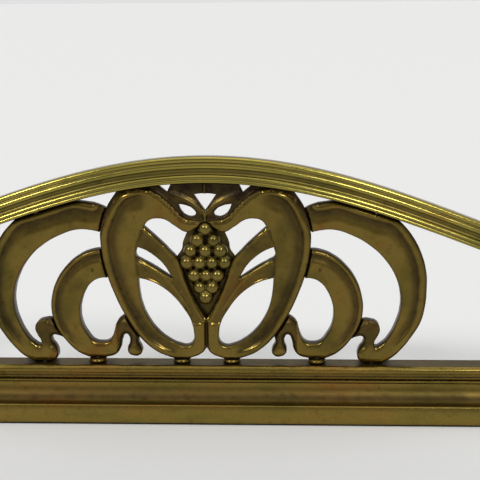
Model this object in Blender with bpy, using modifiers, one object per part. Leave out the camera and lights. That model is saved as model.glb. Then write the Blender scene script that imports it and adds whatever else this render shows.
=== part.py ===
"""Brass fireplace fender: a mitred kerb on iron bars, an arched reeded rail and a cast vine ornament."""

from math import cos, pi, radians, sin, sqrt

import bmesh
import bpy
from mathutils import Matrix, Vector

# Every size is in millimetres, and MM turns it into metres. X runs along the front, the front faces -Y,
# and the fender stands on Z = 0. A section's "out" is the distance outwards from the run's inner face.
MM = 0.001

# Driving sizes
OVERALL_WIDTH = 1320
OVERALL_DEPTH = 330
KERB_HEIGHT = 57
KERB_DEPTH = 38
CROWN_CLEARANCE = 183  # kerb top to the underside of the rail, at the middle
RAIL_DROP = 126  # how far the rail comes down from its crown to its level ends
RAIL_SWEEP = 520  # distance from the crown to where the rail is level again
RAIL_HEIGHT = 25
RAIL_DEPTH = 21
ORNAMENT_HALF_WIDTH = 217

# Kerb section
SHEET = 1.6
FLAT_DEPTH = 20.7
UPPER_BEAD = 4.0
LOWER_BEAD = 3.6
BEAD_SETBACK = 0.9
BEAD_LAP = 0.7  # how far the two beads of the nose run into each other
QUIRK_HEIGHT = 0.4
FILLET_SETBACK = 0.2
FILLET_LIP = 1.0  # how far the top of the cove stands out past the fillet
FILLET_HEIGHT = 2.6
FASCIA_HEIGHT = 20.2
FASCIA_STEP = 1.5
BASE_SHOW = 2.0  # height of the iron base below the brass
BASE_BAR = 6.0

# Rail section
CORE_WIDTH = RAIL_DEPTH / 3
CORE_HEIGHT = RAIL_HEIGHT * 0.4
CORE_RISE = RAIL_HEIGHT / 5  # underside of the core above the underside of the rail

# Ornament layers, measured outwards from the inner face of the kerb
LAP_BACK = 1.5
LAP_FRONT = 5.2
LOOP_BACK = 5.5
LOOP_FRONT = 17.5
SCROLL_FRONT = 15.0
BUNCH_CORE_FRONT = 11.0
BERRY_RADIUS = 5.3
BERRY_LINE = 12.0

# Feet and fixings
STUD_LINE = RAIL_DEPTH / 2
STUD_RADIUS = 2.5
STUD_HOLD = 8.0  # length of stud inside a casting
STUD_REACH = 6.0  # length of stud or spigot inside the rail's core
STUD_END = 1.5  # stud showing past its nut
NUT_FLATS = 8.0
NUT_HEIGHT = 4.0
COLLAR_HEIGHT = 5.0
COLLAR_RADIUS = 9.0
COLLAR_ROUND = 2.2
LOOP_FOOT = 25
INNER_FOOT = 110
OUTER_FOOT = 164
LOOP_STUD = 66
OUTER_STUD = 166
SCREW_RADIUS = 1.6
SCREW_HEAD = 3.4
SCREW_HEAD_HEIGHT = 1.8
SCREW_HOLD = 5.0
PILLAR_INSET = 26  # return pillar, from the rear end
PILLAR_WAIST = 3.6
PILLAR_BULB = 7.0
PILLAR_FOOT = 9.0
PILLAR_FOOT_ROUND = 2.2
PILLAR_HEAD = 7.0
PILLAR_HEAD_ROUND = 2.0
PILLAR_NECK = 6.0  # length of each tapering neck, with its ring
END_PLATE = 3.0
BRACKET_LEG = 70
BRACKET_WIDTH = 16
BRACKET_THICKNESS = 3.0

CLEARANCE = 0.3
HOLE_CLEARANCE = 0.3
CUT_MARGIN = 10  # how far a cutter stands clear of what it cuts
ARC_STEPS = 4
RAIL_ARC_STEPS = 3
KNOT_STEPS = 3
TURN_STEPS = 14
SCREW_STEPS = 10
ROD_SIDES = 12
CROWN_STEPS = 40

# Ornament knots are drawn on a sheet 217 wide and 183 high, with feet 5 above the kerb and this rail above.
SHEET_HALF_WIDTH = 217
SHEET_HEIGHT = 183
SHEET_DROP = 126
SHEET_SWEEP = 520
SHEET_FOOT = 5
CORNER = "corner"

FRONT_Y = -OVERALL_DEPTH / 2
REAR_Y = OVERALL_DEPTH / 2
SIDE_X = OVERALL_WIDTH / 2
LEVEL_CLEARANCE = CROWN_CLEARANCE - RAIL_DROP


def clear_scene():
    for item in list(bpy.data.objects):
        bpy.data.objects.remove(item)


def new_collection(name):
    made = bpy.data.collections.new(name)
    bpy.context.scene.collection.children.link(made)
    return made


def new_material(name, colour, roughness, metallic):
    made = bpy.data.materials.new(name)
    made.use_nodes = True
    shader = made.node_tree.nodes["Principled BSDF"]
    shader.inputs["Base Color"].default_value = (*colour, 1)
    shader.inputs["Roughness"].default_value = roughness
    shader.inputs["Metallic"].default_value = metallic
    return made


# ---- placing ----


def depth_y(out):
    """World Y of a place on the front run, from its distance out of the inner face."""
    return FRONT_Y + KERB_DEPTH - out


def arch_height(x, crown, drop, sweep):
    """Height at x of an arch that comes down from its crown to level ends."""
    swept = min(abs(x), sweep)
    return crown - drop * (1 - cos(pi * swept / sweep)) / 2


def rail_underside(x):
    return arch_height(x, CROWN_CLEARANCE, RAIL_DROP, RAIL_SWEEP)


def across(x):
    return x * ORNAMENT_HALF_WIDTH / SHEET_HALF_WIDTH


def above_kerb(x, z):
    """A place on the ornament's sheet, turned into its height: it keeps its share of the height to the rail."""
    if z <= SHEET_FOOT:
        return z * COLLAR_HEIGHT / SHEET_FOOT
    sheet_rail = arch_height(x, SHEET_HEIGHT, SHEET_DROP, SHEET_SWEEP)
    share = (z - SHEET_FOOT) / (sheet_rail - SHEET_FOOT)
    return COLLAR_HEIGHT + share * (rail_underside(across(x)) - COLLAR_HEIGHT)


def sheet_knots(knots):
    return [(across(k[0]), above_kerb(*k[:2]), k[2:] == (CORNER,)) for k in knots]


def under_rail(*places):
    """Knots along the underside of the rail, with a corner at each end."""
    ends = (places[0], places[-1])
    return [(across(x), rail_underside(across(x)) - CLEARANCE, x in ends) for x in places]


def mirrored(knots):
    return [(-x, z, sharp) for x, z, sharp in reversed(knots)]


def both_halves(knots):
    """A closed outline from its right half, whose first and last knots lie on the axis."""
    return knots + mirrored(knots[1:-1])


# ---- shapes ----


def mesh_object(name, mesh, group, material, matrix=None):
    made = bpy.data.objects.new(name, mesh)
    group.objects.link(made)
    if matrix is not None:
        made.matrix_world = matrix
    made.data.materials.clear()
    if material:
        made.data.materials.append(material)
    return made


def as_mesh(curve, group, material):
    """The curve made a mesh with welded caps, in its place."""
    bpy.context.view_layer.update()
    graph = bpy.context.evaluated_depsgraph_get()
    mesh = bpy.data.meshes.new_from_object(curve.evaluated_get(graph))
    form = bmesh.new()
    form.from_mesh(mesh)
    bmesh.ops.remove_doubles(form, verts=form.verts, dist=0.002 * MM)
    bmesh.ops.recalc_face_normals(form, faces=form.faces)
    form.to_mesh(mesh)
    form.free()
    name = curve.name
    matrix = curve.matrix_world.copy()
    bpy.data.objects.remove(curve)
    return mesh_object(name, mesh, group, material, matrix)


def add_spline(data, outline):
    """One closed spline: knots are (x, y, sharp), and a plain (x, y) list makes straight sides."""
    smooth = len(outline[0]) == 3
    spline = data.splines.new("BEZIER" if smooth else "POLY")
    points = spline.bezier_points if smooth else spline.points
    points.add(len(outline) - 1)
    for point, knot in zip(points, outline):
        if smooth:
            point.co = (knot[0] * MM, knot[1] * MM, 0)
            kind = "VECTOR" if knot[2] else "AUTO"
            point.handle_left_type = kind
            point.handle_right_type = kind
        else:
            point.co = (knot[0] * MM, knot[1] * MM, 0, 1)
    spline.use_cyclic_u = True


def plate(name, outlines, low, high, frame, group, material, grow=0):
    """Flat outlines, extruded between two distances along the frame's own Z, and grown all round if asked."""
    data = bpy.data.curves.new(name, "CURVE")
    data.dimensions = "2D"
    data.fill_mode = "BOTH"
    data.resolution_u = KNOT_STEPS
    for outline in outlines:
        add_spline(data, outline)
    data.extrude = (high - low) / 2 * MM
    data.offset = grow * MM
    curve = bpy.data.objects.new(name, data)
    group.objects.link(curve)
    curve.matrix_world = frame @ Matrix.Translation((0, 0, (low + high) / 2 * MM))
    return as_mesh(curve, group, material)


def front_frame():
    """Local X is world X, local Y is height above the kerb, local Z is the distance out of the inner face."""
    place = Matrix.Translation((0, depth_y(0) * MM, KERB_HEIGHT * MM))
    return place @ Matrix.Rotation(radians(90), 4, "X")


def upright(x, y):
    """A frame standing on the hearth, with its Z up."""
    return Matrix.Translation((x * MM, y * MM, 0))


def rearward(x, z):
    """A frame on the front run whose Z points back, and reads minus the distance out of the inner face."""
    place = Matrix.Translation((x * MM, depth_y(0) * MM, (KERB_HEIGHT + z) * MM))
    return place @ Matrix.Rotation(radians(-90), 4, "X")


def casting(name, outlines, low, high, group, material):
    return plate(name, outlines, low, high, front_frame(), group, material)


def rod(name, radius, low, high, frame, group, material, sides=ROD_SIDES):
    """A round or many-sided bar along the frame's Z, between two distances."""
    form = bmesh.new()
    wide, tall = radius * MM, (high - low) * MM
    bmesh.ops.create_cone(form, cap_ends=True, segments=sides, radius1=wide, radius2=wide, depth=tall)
    mesh = bpy.data.meshes.new(name)
    form.to_mesh(mesh)
    form.free()
    mesh.shade_smooth()
    mesh.set_sharp_from_angle(angle=radians(40))
    place = frame @ Matrix.Translation((0, 0, (low + high) / 2 * MM))
    return mesh_object(name, mesh, group, material, place)


def turned(name, profile, closed, frame, group, material, steps=TURN_STEPS):
    """A profile of (radius, height), top to bottom on its outer side, spun about the frame's Z."""
    mesh = bpy.data.meshes.new(name)
    points = [(radius * MM, 0, height * MM) for radius, height in profile]
    edges = [(i, i + 1) for i in range(len(points) - 1)]
    if closed:
        edges.append((len(points) - 1, 0))
    mesh.from_pydata(points, edges, [])
    made = mesh_object(name, mesh, group, material, frame)
    screw = made.modifiers.new("turn", "SCREW")
    screw.steps = steps
    screw.render_steps = steps
    screw.use_merge_vertices = True
    screw.merge_threshold = 0.00001
    screw.use_smooth_shade = True
    return made


def keep_inside(target, other):
    made = target.modifiers.new(other.name, "BOOLEAN")
    made.operation = "INTERSECT"
    made.solver = "EXACT"
    made.object = other
    hide(other)


def drill(target, cutter):
    """Cuts the target with one more cutter: all of a piece's cutters share one Boolean."""
    title = target.name + "_cuts"
    if title not in bpy.data.collections:
        shared = bpy.data.collections.new(title)
        bpy.data.collections["cutters"].children.link(shared)
        made = target.modifiers.new(title, "BOOLEAN")
        made.operation = "DIFFERENCE"
        made.solver = "EXACT"
        made.operand_type = "COLLECTION"
        made.collection = shared
    bpy.data.collections[title].objects.link(cutter)
    hide(cutter)


def hide(helper):
    helper.hide_render = True
    helper.display_type = "WIRE"


def arc(centre_x, centre_y, radius_x, radius_y, start, end, steps=ARC_STEPS):
    turns = [radians(start + (end - start) * i / steps) for i in range(steps + 1)]
    return [(centre_x + radius_x * cos(t), centre_y + radius_y * sin(t)) for t in turns]


def inset(points, distance):
    """An open line of points moved to its right-hand side by a fixed distance."""
    moved = []
    for i, (x, y) in enumerate(points):
        normals = []
        for a, b in ((i - 1, i), (i, i + 1)):
            if 0 <= a and b < len(points):
                run = Vector((points[b][0] - points[a][0], points[b][1] - points[a][1])).normalized()
                normals.append(Vector((run.y, -run.x)))
        middle = sum(normals, Vector((0, 0))).normalized()
        reach = distance / max(middle.dot(normals[0]), 0.5)
        moved.append((x + middle.x * reach, y + middle.y * reach))
    return moved


# ---- sections ----


def kerb_line():
    """The outside of the moulding as (out, height), from the inner face over the top to the fascia."""
    upper_z = KERB_HEIGHT - UPPER_BEAD
    lower_z = upper_z - UPPER_BEAD - LOWER_BEAD + BEAD_LAP
    fillet_x = FLAT_DEPTH - FILLET_SETBACK
    fillet_z = lower_z - LOWER_BEAD - QUIRK_HEIGHT
    cove_top = fillet_z - FILLET_HEIGHT
    cove_x = fillet_x + FILLET_LIP
    cove_reach = KERB_DEPTH - FASCIA_STEP - cove_x
    cove_fall = cove_top - FASCIA_HEIGHT - FASCIA_STEP / 2
    line = [(0, BASE_SHOW), (0, KERB_HEIGHT)]
    line += arc(FLAT_DEPTH + BEAD_SETBACK, upper_z, UPPER_BEAD, UPPER_BEAD, 90, -60)
    line += arc(FLAT_DEPTH, lower_z, LOWER_BEAD, LOWER_BEAD, 45, -80)
    line += [(fillet_x, fillet_z), (fillet_x, cove_top + FILLET_SETBACK)]
    line += arc(cove_x + cove_reach, cove_top, -cove_reach, -cove_fall, 0, 90)
    line += [(KERB_DEPTH, FASCIA_HEIGHT), (KERB_DEPTH, BASE_SHOW)]
    return line


def kerb_section():
    line = kerb_line()
    hollow = inset(line, SHEET)
    return line + list(reversed(hollow))


# The rail's moulding, drawn 21 deep and 25 high. Each arc is its centre, its reach and rise, and where it
# starts and ends in degrees: the rounded back edge, two reeds, a hollow, an ovolo and the bottom bead.
RAIL_SHEET = (21, 25)
RAIL_BACK = ((0.8, 0.8), (0, 3))
RAIL_ARCS = (
    (4, 20, 4, 5, 180, 90),
    (14.5, 21.9, 3.1, 3.1, 90, -50),
    (15.4, 16.1, 2.9, 2.9, 55, -60),
    (18.8, 10.8, -2.6, 3.0, 30, -40),
    (16.6, 4.8, 3.6, 3.4, 75, -10),
    (19.1, 1.9, 1.9, 1.9, 60, -90),
)


def rail_outside():
    """The moulded outside of the rail as (out, height), from its back edge over the top to its underside."""
    line = list(RAIL_BACK)
    for bend in RAIL_ARCS:
        line += arc(*bend, RAIL_ARC_STEPS)
    return [(out * RAIL_DEPTH / RAIL_SHEET[0], height * RAIL_HEIGHT / RAIL_SHEET[1]) for out, height in line]


def rail_section():
    """The outside of the rail, then the slot that the core lies in."""
    low, high = slot_sides()
    roof = CORE_RISE + CORE_HEIGHT + CLEARANCE
    return rail_outside() + [(high, 0), (high, roof), (low, roof), (low, 0)]


def slot_sides():
    half = CORE_WIDTH / 2 + CLEARANCE
    return STUD_LINE - half, STUD_LINE + half


def core_section():
    half = CORE_WIDTH / 2
    low, high = STUD_LINE - half, STUD_LINE + half
    top = CORE_RISE + CORE_HEIGHT
    return [(low, CORE_RISE), (low, top), (high, top), (high, CORE_RISE)]


def base_section():
    side = SHEET + CLEARANCE
    return [(side, 0), (side, BASE_BAR), (KERB_DEPTH - side, BASE_BAR), (KERB_DEPTH - side, 0)]


# ---- the three runs ----


def run_outline(side):
    """Plan of a run with its mitres: 0 is the front, -1 the left return and 1 the right return."""
    reach = KERB_DEPTH * 1.5
    gap = CLEARANCE / sqrt(2)
    if side == 0:
        near, far = SIDE_X - gap, SIDE_X - reach - gap
        outer = FRONT_Y - CUT_MARGIN
        wide = near + CUT_MARGIN
        return [(-wide, outer), (wide, outer), (far, FRONT_Y + reach), (-far, FRONT_Y + reach)]
    rear = REAR_Y - END_PLATE - CLEARANCE
    near, far = SIDE_X + CUT_MARGIN, SIDE_X - reach
    start, end = FRONT_Y - CUT_MARGIN + gap, FRONT_Y + reach + gap
    return [(side * near, start), (side * near, rear), (side * far, rear), (side * far, end)]


def run_frame(side, height):
    """Local X is the distance out of the inner face, local Y is up and local Z runs along the moulding."""
    if side == 0:
        place = Matrix.Translation(Vector((0, depth_y(0), height)) * MM)
        turn = Matrix(((0, 0, -1), (-1, 0, 0), (0, 1, 0))).to_4x4()
    else:
        place = Matrix.Translation(Vector((side * (SIDE_X - KERB_DEPTH), 0, height)) * MM)
        turn = Matrix(((side, 0, 0), (0, 0, -side), (0, 1, 0))).to_4x4()
    return place @ turn


def straight_run(name, section, side, height, group, material, helpers):
    """A straight moulding along one run, cut to its mitres."""
    half = (OVERALL_WIDTH if side == 0 else OVERALL_DEPTH) / 2 + CUT_MARGIN / 2
    made = plate(name, [section], -half, half, run_frame(side, height), group, material)
    keep_inside(made, mitre_block(side, helpers))
    return made


def mitre_block(side, helpers):
    name = f"mitre_{side}"
    if name in bpy.data.objects:
        return bpy.data.objects[name]
    top = KERB_HEIGHT + CROWN_CLEARANCE + RAIL_HEIGHT * 2
    block = plate(name, [run_outline(side)], -CUT_MARGIN, top, upright(0, 0), helpers, None)
    hide(block)
    return block


def crown_places():
    """X of each station along the front rail, closer together where it bends."""
    half = SIDE_X + CUT_MARGIN / 2
    swept = [RAIL_SWEEP * (2 * i / CROWN_STEPS - 1) for i in range(CROWN_STEPS + 1)]
    return [-half] + [x for x in swept if abs(x) < half] + [half]


def arched_run(name, section, group, material, helpers):
    """The front rail: its section carried along the arch, then cut to its mitres."""
    profile_data = bpy.data.curves.new(name + "_profile", "CURVE")
    profile_data.dimensions = "2D"
    add_spline(profile_data, [(out - STUD_LINE, height) for out, height in section])
    profile = bpy.data.objects.new(name + "_profile", profile_data)
    helpers.objects.link(profile)
    hide(profile)
    data = bpy.data.curves.new(name, "CURVE")
    data.dimensions = "3D"
    data.twist_mode = "Z_UP"
    spline = data.splines.new("POLY")
    places = crown_places()
    spline.points.add(len(places) - 1)
    for point, x in zip(spline.points, places):
        point.co = (x * MM, 0, rail_underside(x) * MM, 1)
    data.bevel_mode = "OBJECT"
    data.bevel_object = profile
    data.use_fill_caps = True
    curve = bpy.data.objects.new(name, data)
    group.objects.link(curve)
    curve.location = Vector((0, depth_y(STUD_LINE), KERB_HEIGHT)) * MM
    made = as_mesh(curve, group, material)
    keep_inside(made, mitre_block(0, helpers))
    return made


# ---- ornament outlines, right half, on the sheet described above ----


def loop_outside():
    lower = [
        (0, 15, CORNER), (6, 9.5), (13, 6.5), (18, 5, CORNER), (32, 5, CORNER), (40, 7.5), (50, 12),
        (66, 26), (80, 47.5), (91, 71), (99, 95), (103, 118), (102.5, 138), (97, 157),
    ]
    return sheet_knots(lower) + under_rail(86, 72, 59, 46)


def bow_top():
    """The dip beside the loop's shoulder, then the bow's bar along the rail."""
    return sheet_knots([(37, 173, CORNER)]) + under_rail(33, 16, 0)


def lower_hole():
    return sheet_knots([
        (66.5, 88, CORNER), (66, 77), (63, 60), (57, 46), (48, 33.5), (38, 25), (27, 19.5), (18, 18.5),
        (13, 23.5), (12.5, 32), (15, 43), (21, 54), (30.5, 67.5), (42, 78), (55, 85),
    ])


def slit():
    return sheet_knots([
        (67, 119, CORNER), (68, 110), (62.5, 106), (52.5, 100.5), (42.5, 94), (33, 87.5, CORNER),
        (36.5, 94), (41, 101), (49, 109), (58.5, 115.5),
    ])


def bunch_opening():
    return sheet_knots([
        (0, 144), (9, 138), (17.5, 134), (29.5, 140), (38.5, 146), (47.5, 147.5), (55, 145.5),
        (60, 139.5, CORNER), (50, 130.5), (41, 122), (34.5, 115), (28.5, 108.5), (23, 96), (17.5, 80),
        (9.5, 62), (0, 46, CORNER),
    ])


def almond_hole():
    return sheet_knots([
        (26, 161.5, CORNER), (18, 160), (11.5, 156.5), (9, 151.5), (12.5, 149), (19, 150.5), (23, 154.5),
    ])


def bow_hole():
    return sheet_knots([(0, 155, CORNER), (6, 163.5), (11, 171, CORNER), (0, 172)])


def inner_scroll_outline():
    return sheet_knots([
        (88, 111), (103, 116), (113, 115), (125, 110), (138, 99.5), (148.5, 84.5), (154, 68), (155, 54),
        (152, 40), (143, 24), (130, 10.5), (119, 5, CORNER), (101, 5, CORNER), (91.5, 8), (86.5, 14.5),
        (85, 22), (81, 28.3), (78.3, 26), (77.7, 20), (79.7, 15), (79, 9.5), (74.5, 6.7), (68.5, 6.7),
        (65, 10.5), (65.8, 15.5), (68.3, 20.5), (67, 28), (67, 38), (71.5, 46), (78, 49), (85, 46.5),
        (90, 41), (92, 34), (94.5, 27), (98.5, 22), (105, 20.3), (113, 22), (119, 29), (124.5, 40),
        (126, 53), (124.5, 62.5), (120.5, 73), (113, 83), (104, 87.3), (96, 87), (88, 84),
    ])


def outer_scroll_outline():
    body = sheet_knots([
        (92, 151), (98, 157), (110, 162, CORNER),
    ])
    top = under_rail(129, 150, 170, 187)
    rest = sheet_knots([
        (202, 129.5), (211, 112.5), (216.3, 93), (217, 77), (216, 60), (212, 43), (203, 27), (194, 15),
        (184, 5.5), (174, 0.3, CORNER), (158, 0.3, CORNER), (151.5, 3.5), (150, 10), (152, 16),
        (155.5, 21), (155.5, 26.5), (148, 26.5), (142, 24), (141, 30), (146, 40), (154, 44.3),
        (163, 44.3), (169.5, 41.5), (172, 35.5), (170, 28.5), (167, 22.5), (167.5, 17.5), (174, 20),
        (181, 28), (187.8, 42), (191.5, 56), (191.5, 71), (186.5, 88.5), (175.5, 106.5), (158.5, 122),
        (142, 131), (126, 136), (112.5, 135.5), (101, 132.5), (92, 128),
    ])
    return body + top + rest


def bunch_plate_outline():
    return sheet_knots([
        (0, 149), (8, 147), (14, 141), (18.5, 132.5), (20.5, 128), (23, 121.5), (24, 115), (28, 109),
        (32, 103), (33, 96), (28, 84), (17, 64), (8, 50), (0, 41),
    ])


def bunch_core_outline():
    return sheet_knots([
        (0, 142), (7, 138), (12, 129), (17.5, 117), (21.5, 105), (18.5, 97), (14, 86), (8, 75), (0, 64),
    ])


# Each row of berries: how many, how far apart and how high on the sheet.
BERRY_ROWS = (
    (1, 0, 137), (2, 16, 125.5), (3, 14.6, 115), (4, 12.3, 103), (3, 11.6, 90), (2, 12, 78), (1, 0, 68),
)


# ---- sub-parts ----


def make_kerb(group, helpers, brass, iron):
    made = {}
    for side, word in ((0, "front"), (-1, "left"), (1, "right")):
        made[side] = straight_run(f"kerb_{word}", kerb_section(), side, 0, group, brass, helpers)
        base = straight_run(f"base_bar_{word}", base_section(), side, 0, group, iron, helpers)
        made[side, "base"] = base
    for side, word in ((-1, "left"), (1, "right")):
        outline = [(out, height) for out, height in kerb_line()[1:-1]]
        outline = [(0, 0)] + outline + [(KERB_DEPTH, 0)]
        frame = run_frame(side, 0)
        ends = sorted((-side * (REAR_Y - END_PLATE), -side * REAR_Y))
        plate(f"end_plate_{word}", [outline], *ends, frame, group, brass)
    return made


def make_brackets(group, helpers, iron, steel, kerb):
    """An angle iron across each mitre, screwed down to the two base bars."""
    inner = (KERB_DEPTH - BRACKET_WIDTH) / 2
    low = BASE_BAR + CLEARANCE
    high = low + BRACKET_THICKNESS
    for side, word in ((-1, "left"), (1, "right")):
        corner_x = SIDE_X - inner
        corner_y = FRONT_Y + inner
        near_x, far_x = corner_x - BRACKET_WIDTH, corner_x - BRACKET_LEG
        near_y, far_y = corner_y + BRACKET_WIDTH, corner_y + BRACKET_LEG
        plan = [
            (corner_x, corner_y), (corner_x, far_y), (near_x, far_y),
            (near_x, near_y), (far_x, near_y), (far_x, corner_y),
        ]
        outline = [(side * x, y) for x, y in plan]
        bracket = plate(f"corner_bracket_{word}", [outline], low, high, upright(0, 0), group, iron)
        middle = BRACKET_WIDTH / 2
        holes = {
            "front": (side * (far_x + middle), corner_y + middle, kerb[0, "base"]),
            "return": (side * (corner_x - middle), far_y - middle, kerb[side, "base"]),
        }
        for place, (x, y, base) in holes.items():
            name = f"bracket_screw_{word}_{place}"
            wide = SCREW_RADIUS + HOLE_CLEARANCE
            hole = rod(name + "_hole", wide, 1, high + 1, upright(x, y), helpers, None)
            drill(bracket, hole)
            drill(base, hole)
            make_screw(name, low - SCREW_HOLD + CLEARANCE * 2, high, upright(x, y), group, steel)


def make_screw(name, tip, seat, frame, group, steel):
    """A round-head screw along the frame's Z, from its tip to the face that its head seats on."""
    under = seat + CLEARANCE
    dome = arc(0, under + SCREW_HEAD_HEIGHT / 3, SCREW_HEAD, SCREW_HEAD_HEIGHT * 2 / 3, 90, 0, 2)
    profile = dome + [(SCREW_HEAD, under), (SCREW_RADIUS, under), (SCREW_RADIUS, tip), (0, tip)]
    turned(name, profile, False, frame, group, steel, SCREW_STEPS)


def make_rail(group, helpers, brass, iron):
    """The moulded rails, the caps on their rear ends and the iron cores inside them, which it returns."""
    arched_run("rail_front", rail_section(), group, brass, helpers)
    cores = {0: arched_run("rail_core_front", core_section(), group, iron, helpers)}
    height = KERB_HEIGHT + LEVEL_CLEARANCE
    for side, word in ((-1, "left"), (1, "right")):
        straight_run(f"rail_{word}", rail_section(), side, height, group, brass, helpers)
        cores[side] = straight_run(f"rail_core_{word}", core_section(), side, height, group, iron, helpers)
        ends = sorted((-side * (REAR_Y - END_PLATE), -side * REAR_Y))
        plate(f"rail_cap_{word}", [rail_outside()], *ends, run_frame(side, height), group, brass)
    return cores


def make_centre_casting(group, brass):
    outlines = [both_halves(loop_outside() + bow_top())]
    outlines += [both_halves(bunch_opening()), both_halves(bow_hole())]
    for hole in (lower_hole(), slit(), almond_hole()):
        outlines += [hole, mirrored(hole)]
    return casting("centre_casting", outlines, LOOP_BACK, LOOP_FRONT, group, brass)


def make_bunch(group, helpers, brass):
    """The bunch of grapes: a scalloped plate behind the stems, a raised core and rows of berries."""
    backing, raised = both_halves(bunch_plate_outline()), both_halves(bunch_core_outline())
    bunch = casting("grape_cluster", [backing], LAP_BACK, LAP_FRONT, group, brass)
    pieces = bpy.data.collections.new("berries")
    helpers.children.link(pieces)
    core = casting("bunch_core", [raised], LAP_FRONT - 1, BUNCH_CORE_FRONT, pieces, None)
    hide(core)
    for count, pitch, height in BERRY_ROWS:
        for i in range(count):
            x = (i - (count - 1) / 2) * pitch
            rise = above_kerb(x, height)
            place = Vector((across(x), depth_y(BERRY_LINE), KERB_HEIGHT + rise)) * MM
            form = bmesh.new()
            bmesh.ops.create_icosphere(form, subdivisions=2, radius=BERRY_RADIUS * MM)
            mesh = bpy.data.meshes.new("berry")
            form.to_mesh(mesh)
            form.free()
            hide(mesh_object("berry", mesh, pieces, None, Matrix.Translation(place)))
    join = bunch.modifiers.new("berries", "BOOLEAN")
    join.operation = "UNION"
    join.solver = "EXACT"
    join.operand_type = "COLLECTION"
    join.collection = pieces
    return bunch


def make_scrolls(group, helpers, brass):
    """Four scrolls. Each passes behind the loops, and an outer hook passes behind its inner scroll."""
    silhouette = loop_outside() + mirrored(loop_outside()[1:])
    front = front_frame()
    loops = plate("loop_lap", [silhouette], LAP_FRONT, LOOP_FRONT, front, helpers, None, CLEARANCE)
    made = {}
    for side, word in ((1, "right"), (-1, "left")):
        inner, outer = inner_scroll_outline(), outer_scroll_outline()
        if side == -1:
            inner, outer = mirrored(inner), mirrored(outer)
        inner_part = casting(f"inner_scroll_{word}", [inner], LAP_BACK, SCROLL_FRONT, group, brass)
        outer_part = casting(f"outer_scroll_{word}", [outer], LAP_BACK, SCROLL_FRONT, group, brass)
        over = plate(f"hook_lap_{word}", [inner], LAP_FRONT, LOOP_FRONT, front, helpers, None, CLEARANCE)
        rebate = plate(
            f"hook_rebate_{word}", [outer], LAP_BACK - 1, LOOP_BACK, front, helpers, None, CLEARANCE
        )
        drill(inner_part, loops)
        drill(outer_part, loops)
        drill(outer_part, over)
        drill(inner_part, rebate)
        made["inner", side] = inner_part
        made["outer", side] = outer_part
    return made


def make_foot(name, x, rise, casting_part, kerb_front, group, helpers, brass, steel):
    """A stud up into a casting, with its nut under the kerb and, on a raised foot, a turned collar."""
    frame = upright(x, depth_y(STUD_LINE))
    top = KERB_HEIGHT + rise + STUD_HOLD
    seat = KERB_HEIGHT - SHEET
    wide = STUD_RADIUS + HOLE_CLEARANCE
    hole = rod(f"{name}_hole", wide, seat - 1, top + 1, frame, helpers, None)
    drill(kerb_front, hole)
    drill(casting_part, hole)
    rod(f"{name}_stud", STUD_RADIUS, nut_bottom() - STUD_END, top, frame, group, steel)
    make_nut(f"{name}_nut", frame, group, helpers, steel)
    if rise:
        low, high = KERB_HEIGHT + CLEARANCE, KERB_HEIGHT + rise - CLEARANCE
        middle = (low + high) / 2
        rim = arc(COLLAR_RADIUS - COLLAR_ROUND, middle, COLLAR_ROUND, (high - low) / 2, 90, -90)
        profile = [(wide, high)] + rim + [(wide, low)]
        turned(f"{name}_collar", profile, True, frame, group, brass)


def nut_bottom():
    return KERB_HEIGHT - SHEET - CLEARANCE - NUT_HEIGHT


def make_nut(name, frame, group, helpers, steel):
    low = nut_bottom()
    across_corners = NUT_FLATS / 2 / cos(pi / 6)
    nut = rod(name, across_corners, low, low + NUT_HEIGHT, frame, group, steel, sides=6)
    wide = STUD_RADIUS + HOLE_CLEARANCE
    bore = rod(name + "_bore", wide, low - 1, low + NUT_HEIGHT + 1, frame, helpers, None)
    drill(nut, bore)


def make_feet(group, helpers, brass, steel, kerb_front, centre, scrolls):
    for side, word in ((-1, "left"), (1, "right")):
        feet = (
            (f"loop_{word}", LOOP_FOOT, COLLAR_HEIGHT, centre),
            (f"inner_scroll_{word}", INNER_FOOT, COLLAR_HEIGHT, scrolls["inner", side]),
            (f"outer_scroll_{word}", OUTER_FOOT, 0, scrolls["outer", side]),
        )
        for name, x, rise, part in feet:
            make_foot(name, side * across(x), rise, part, kerb_front, group, helpers, brass, steel)


def make_rail_studs(group, helpers, steel, core, centre, scrolls):
    for side, word in ((-1, "left"), (1, "right")):
        places = (("loop", LOOP_STUD, centre), ("scroll", OUTER_STUD, scrolls["outer", side]))
        for name, place, part in places:
            x = across(place)
            under = KERB_HEIGHT + rail_underside(x)
            frame = upright(side * x, depth_y(STUD_LINE))
            low, high = under - STUD_HOLD, under + CORE_RISE + STUD_REACH
            title = f"{name}_rail_stud_{word}"
            rod(title, STUD_RADIUS, low, high, frame, group, steel)
            wide = STUD_RADIUS + HOLE_CLEARANCE
            hole = rod(title + "_hole", wide, low - 1, high + 1, frame, helpers, None)
            drill(part, hole)
            drill(core, hole)


def make_rear_screws(group, helpers, steel, centre, bunch, scrolls):
    """Screws driven from behind, through a lap or the grape plate and into the centre casting."""
    for side, word in ((-1, "left"), (1, "right")):
        places = (
            (f"lap_screw_{word}", 91, 100, scrolls["inner", side]),
            (f"grape_screw_{word}", 28.5, 96, bunch),
        )
        for name, x, z, part in places:
            frame = rearward(side * across(x), above_kerb(x, z))
            tip = -(LOOP_BACK + SCREW_HOLD)
            make_screw(name, tip, -LAP_BACK, frame, group, steel)
            wide = SCREW_RADIUS + HOLE_CLEARANCE
            hole = rod(name + "_hole", wide, tip - 1, 1 - LAP_BACK, frame, helpers, None)
            drill(part, hole)
            drill(centre, hole)


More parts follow.
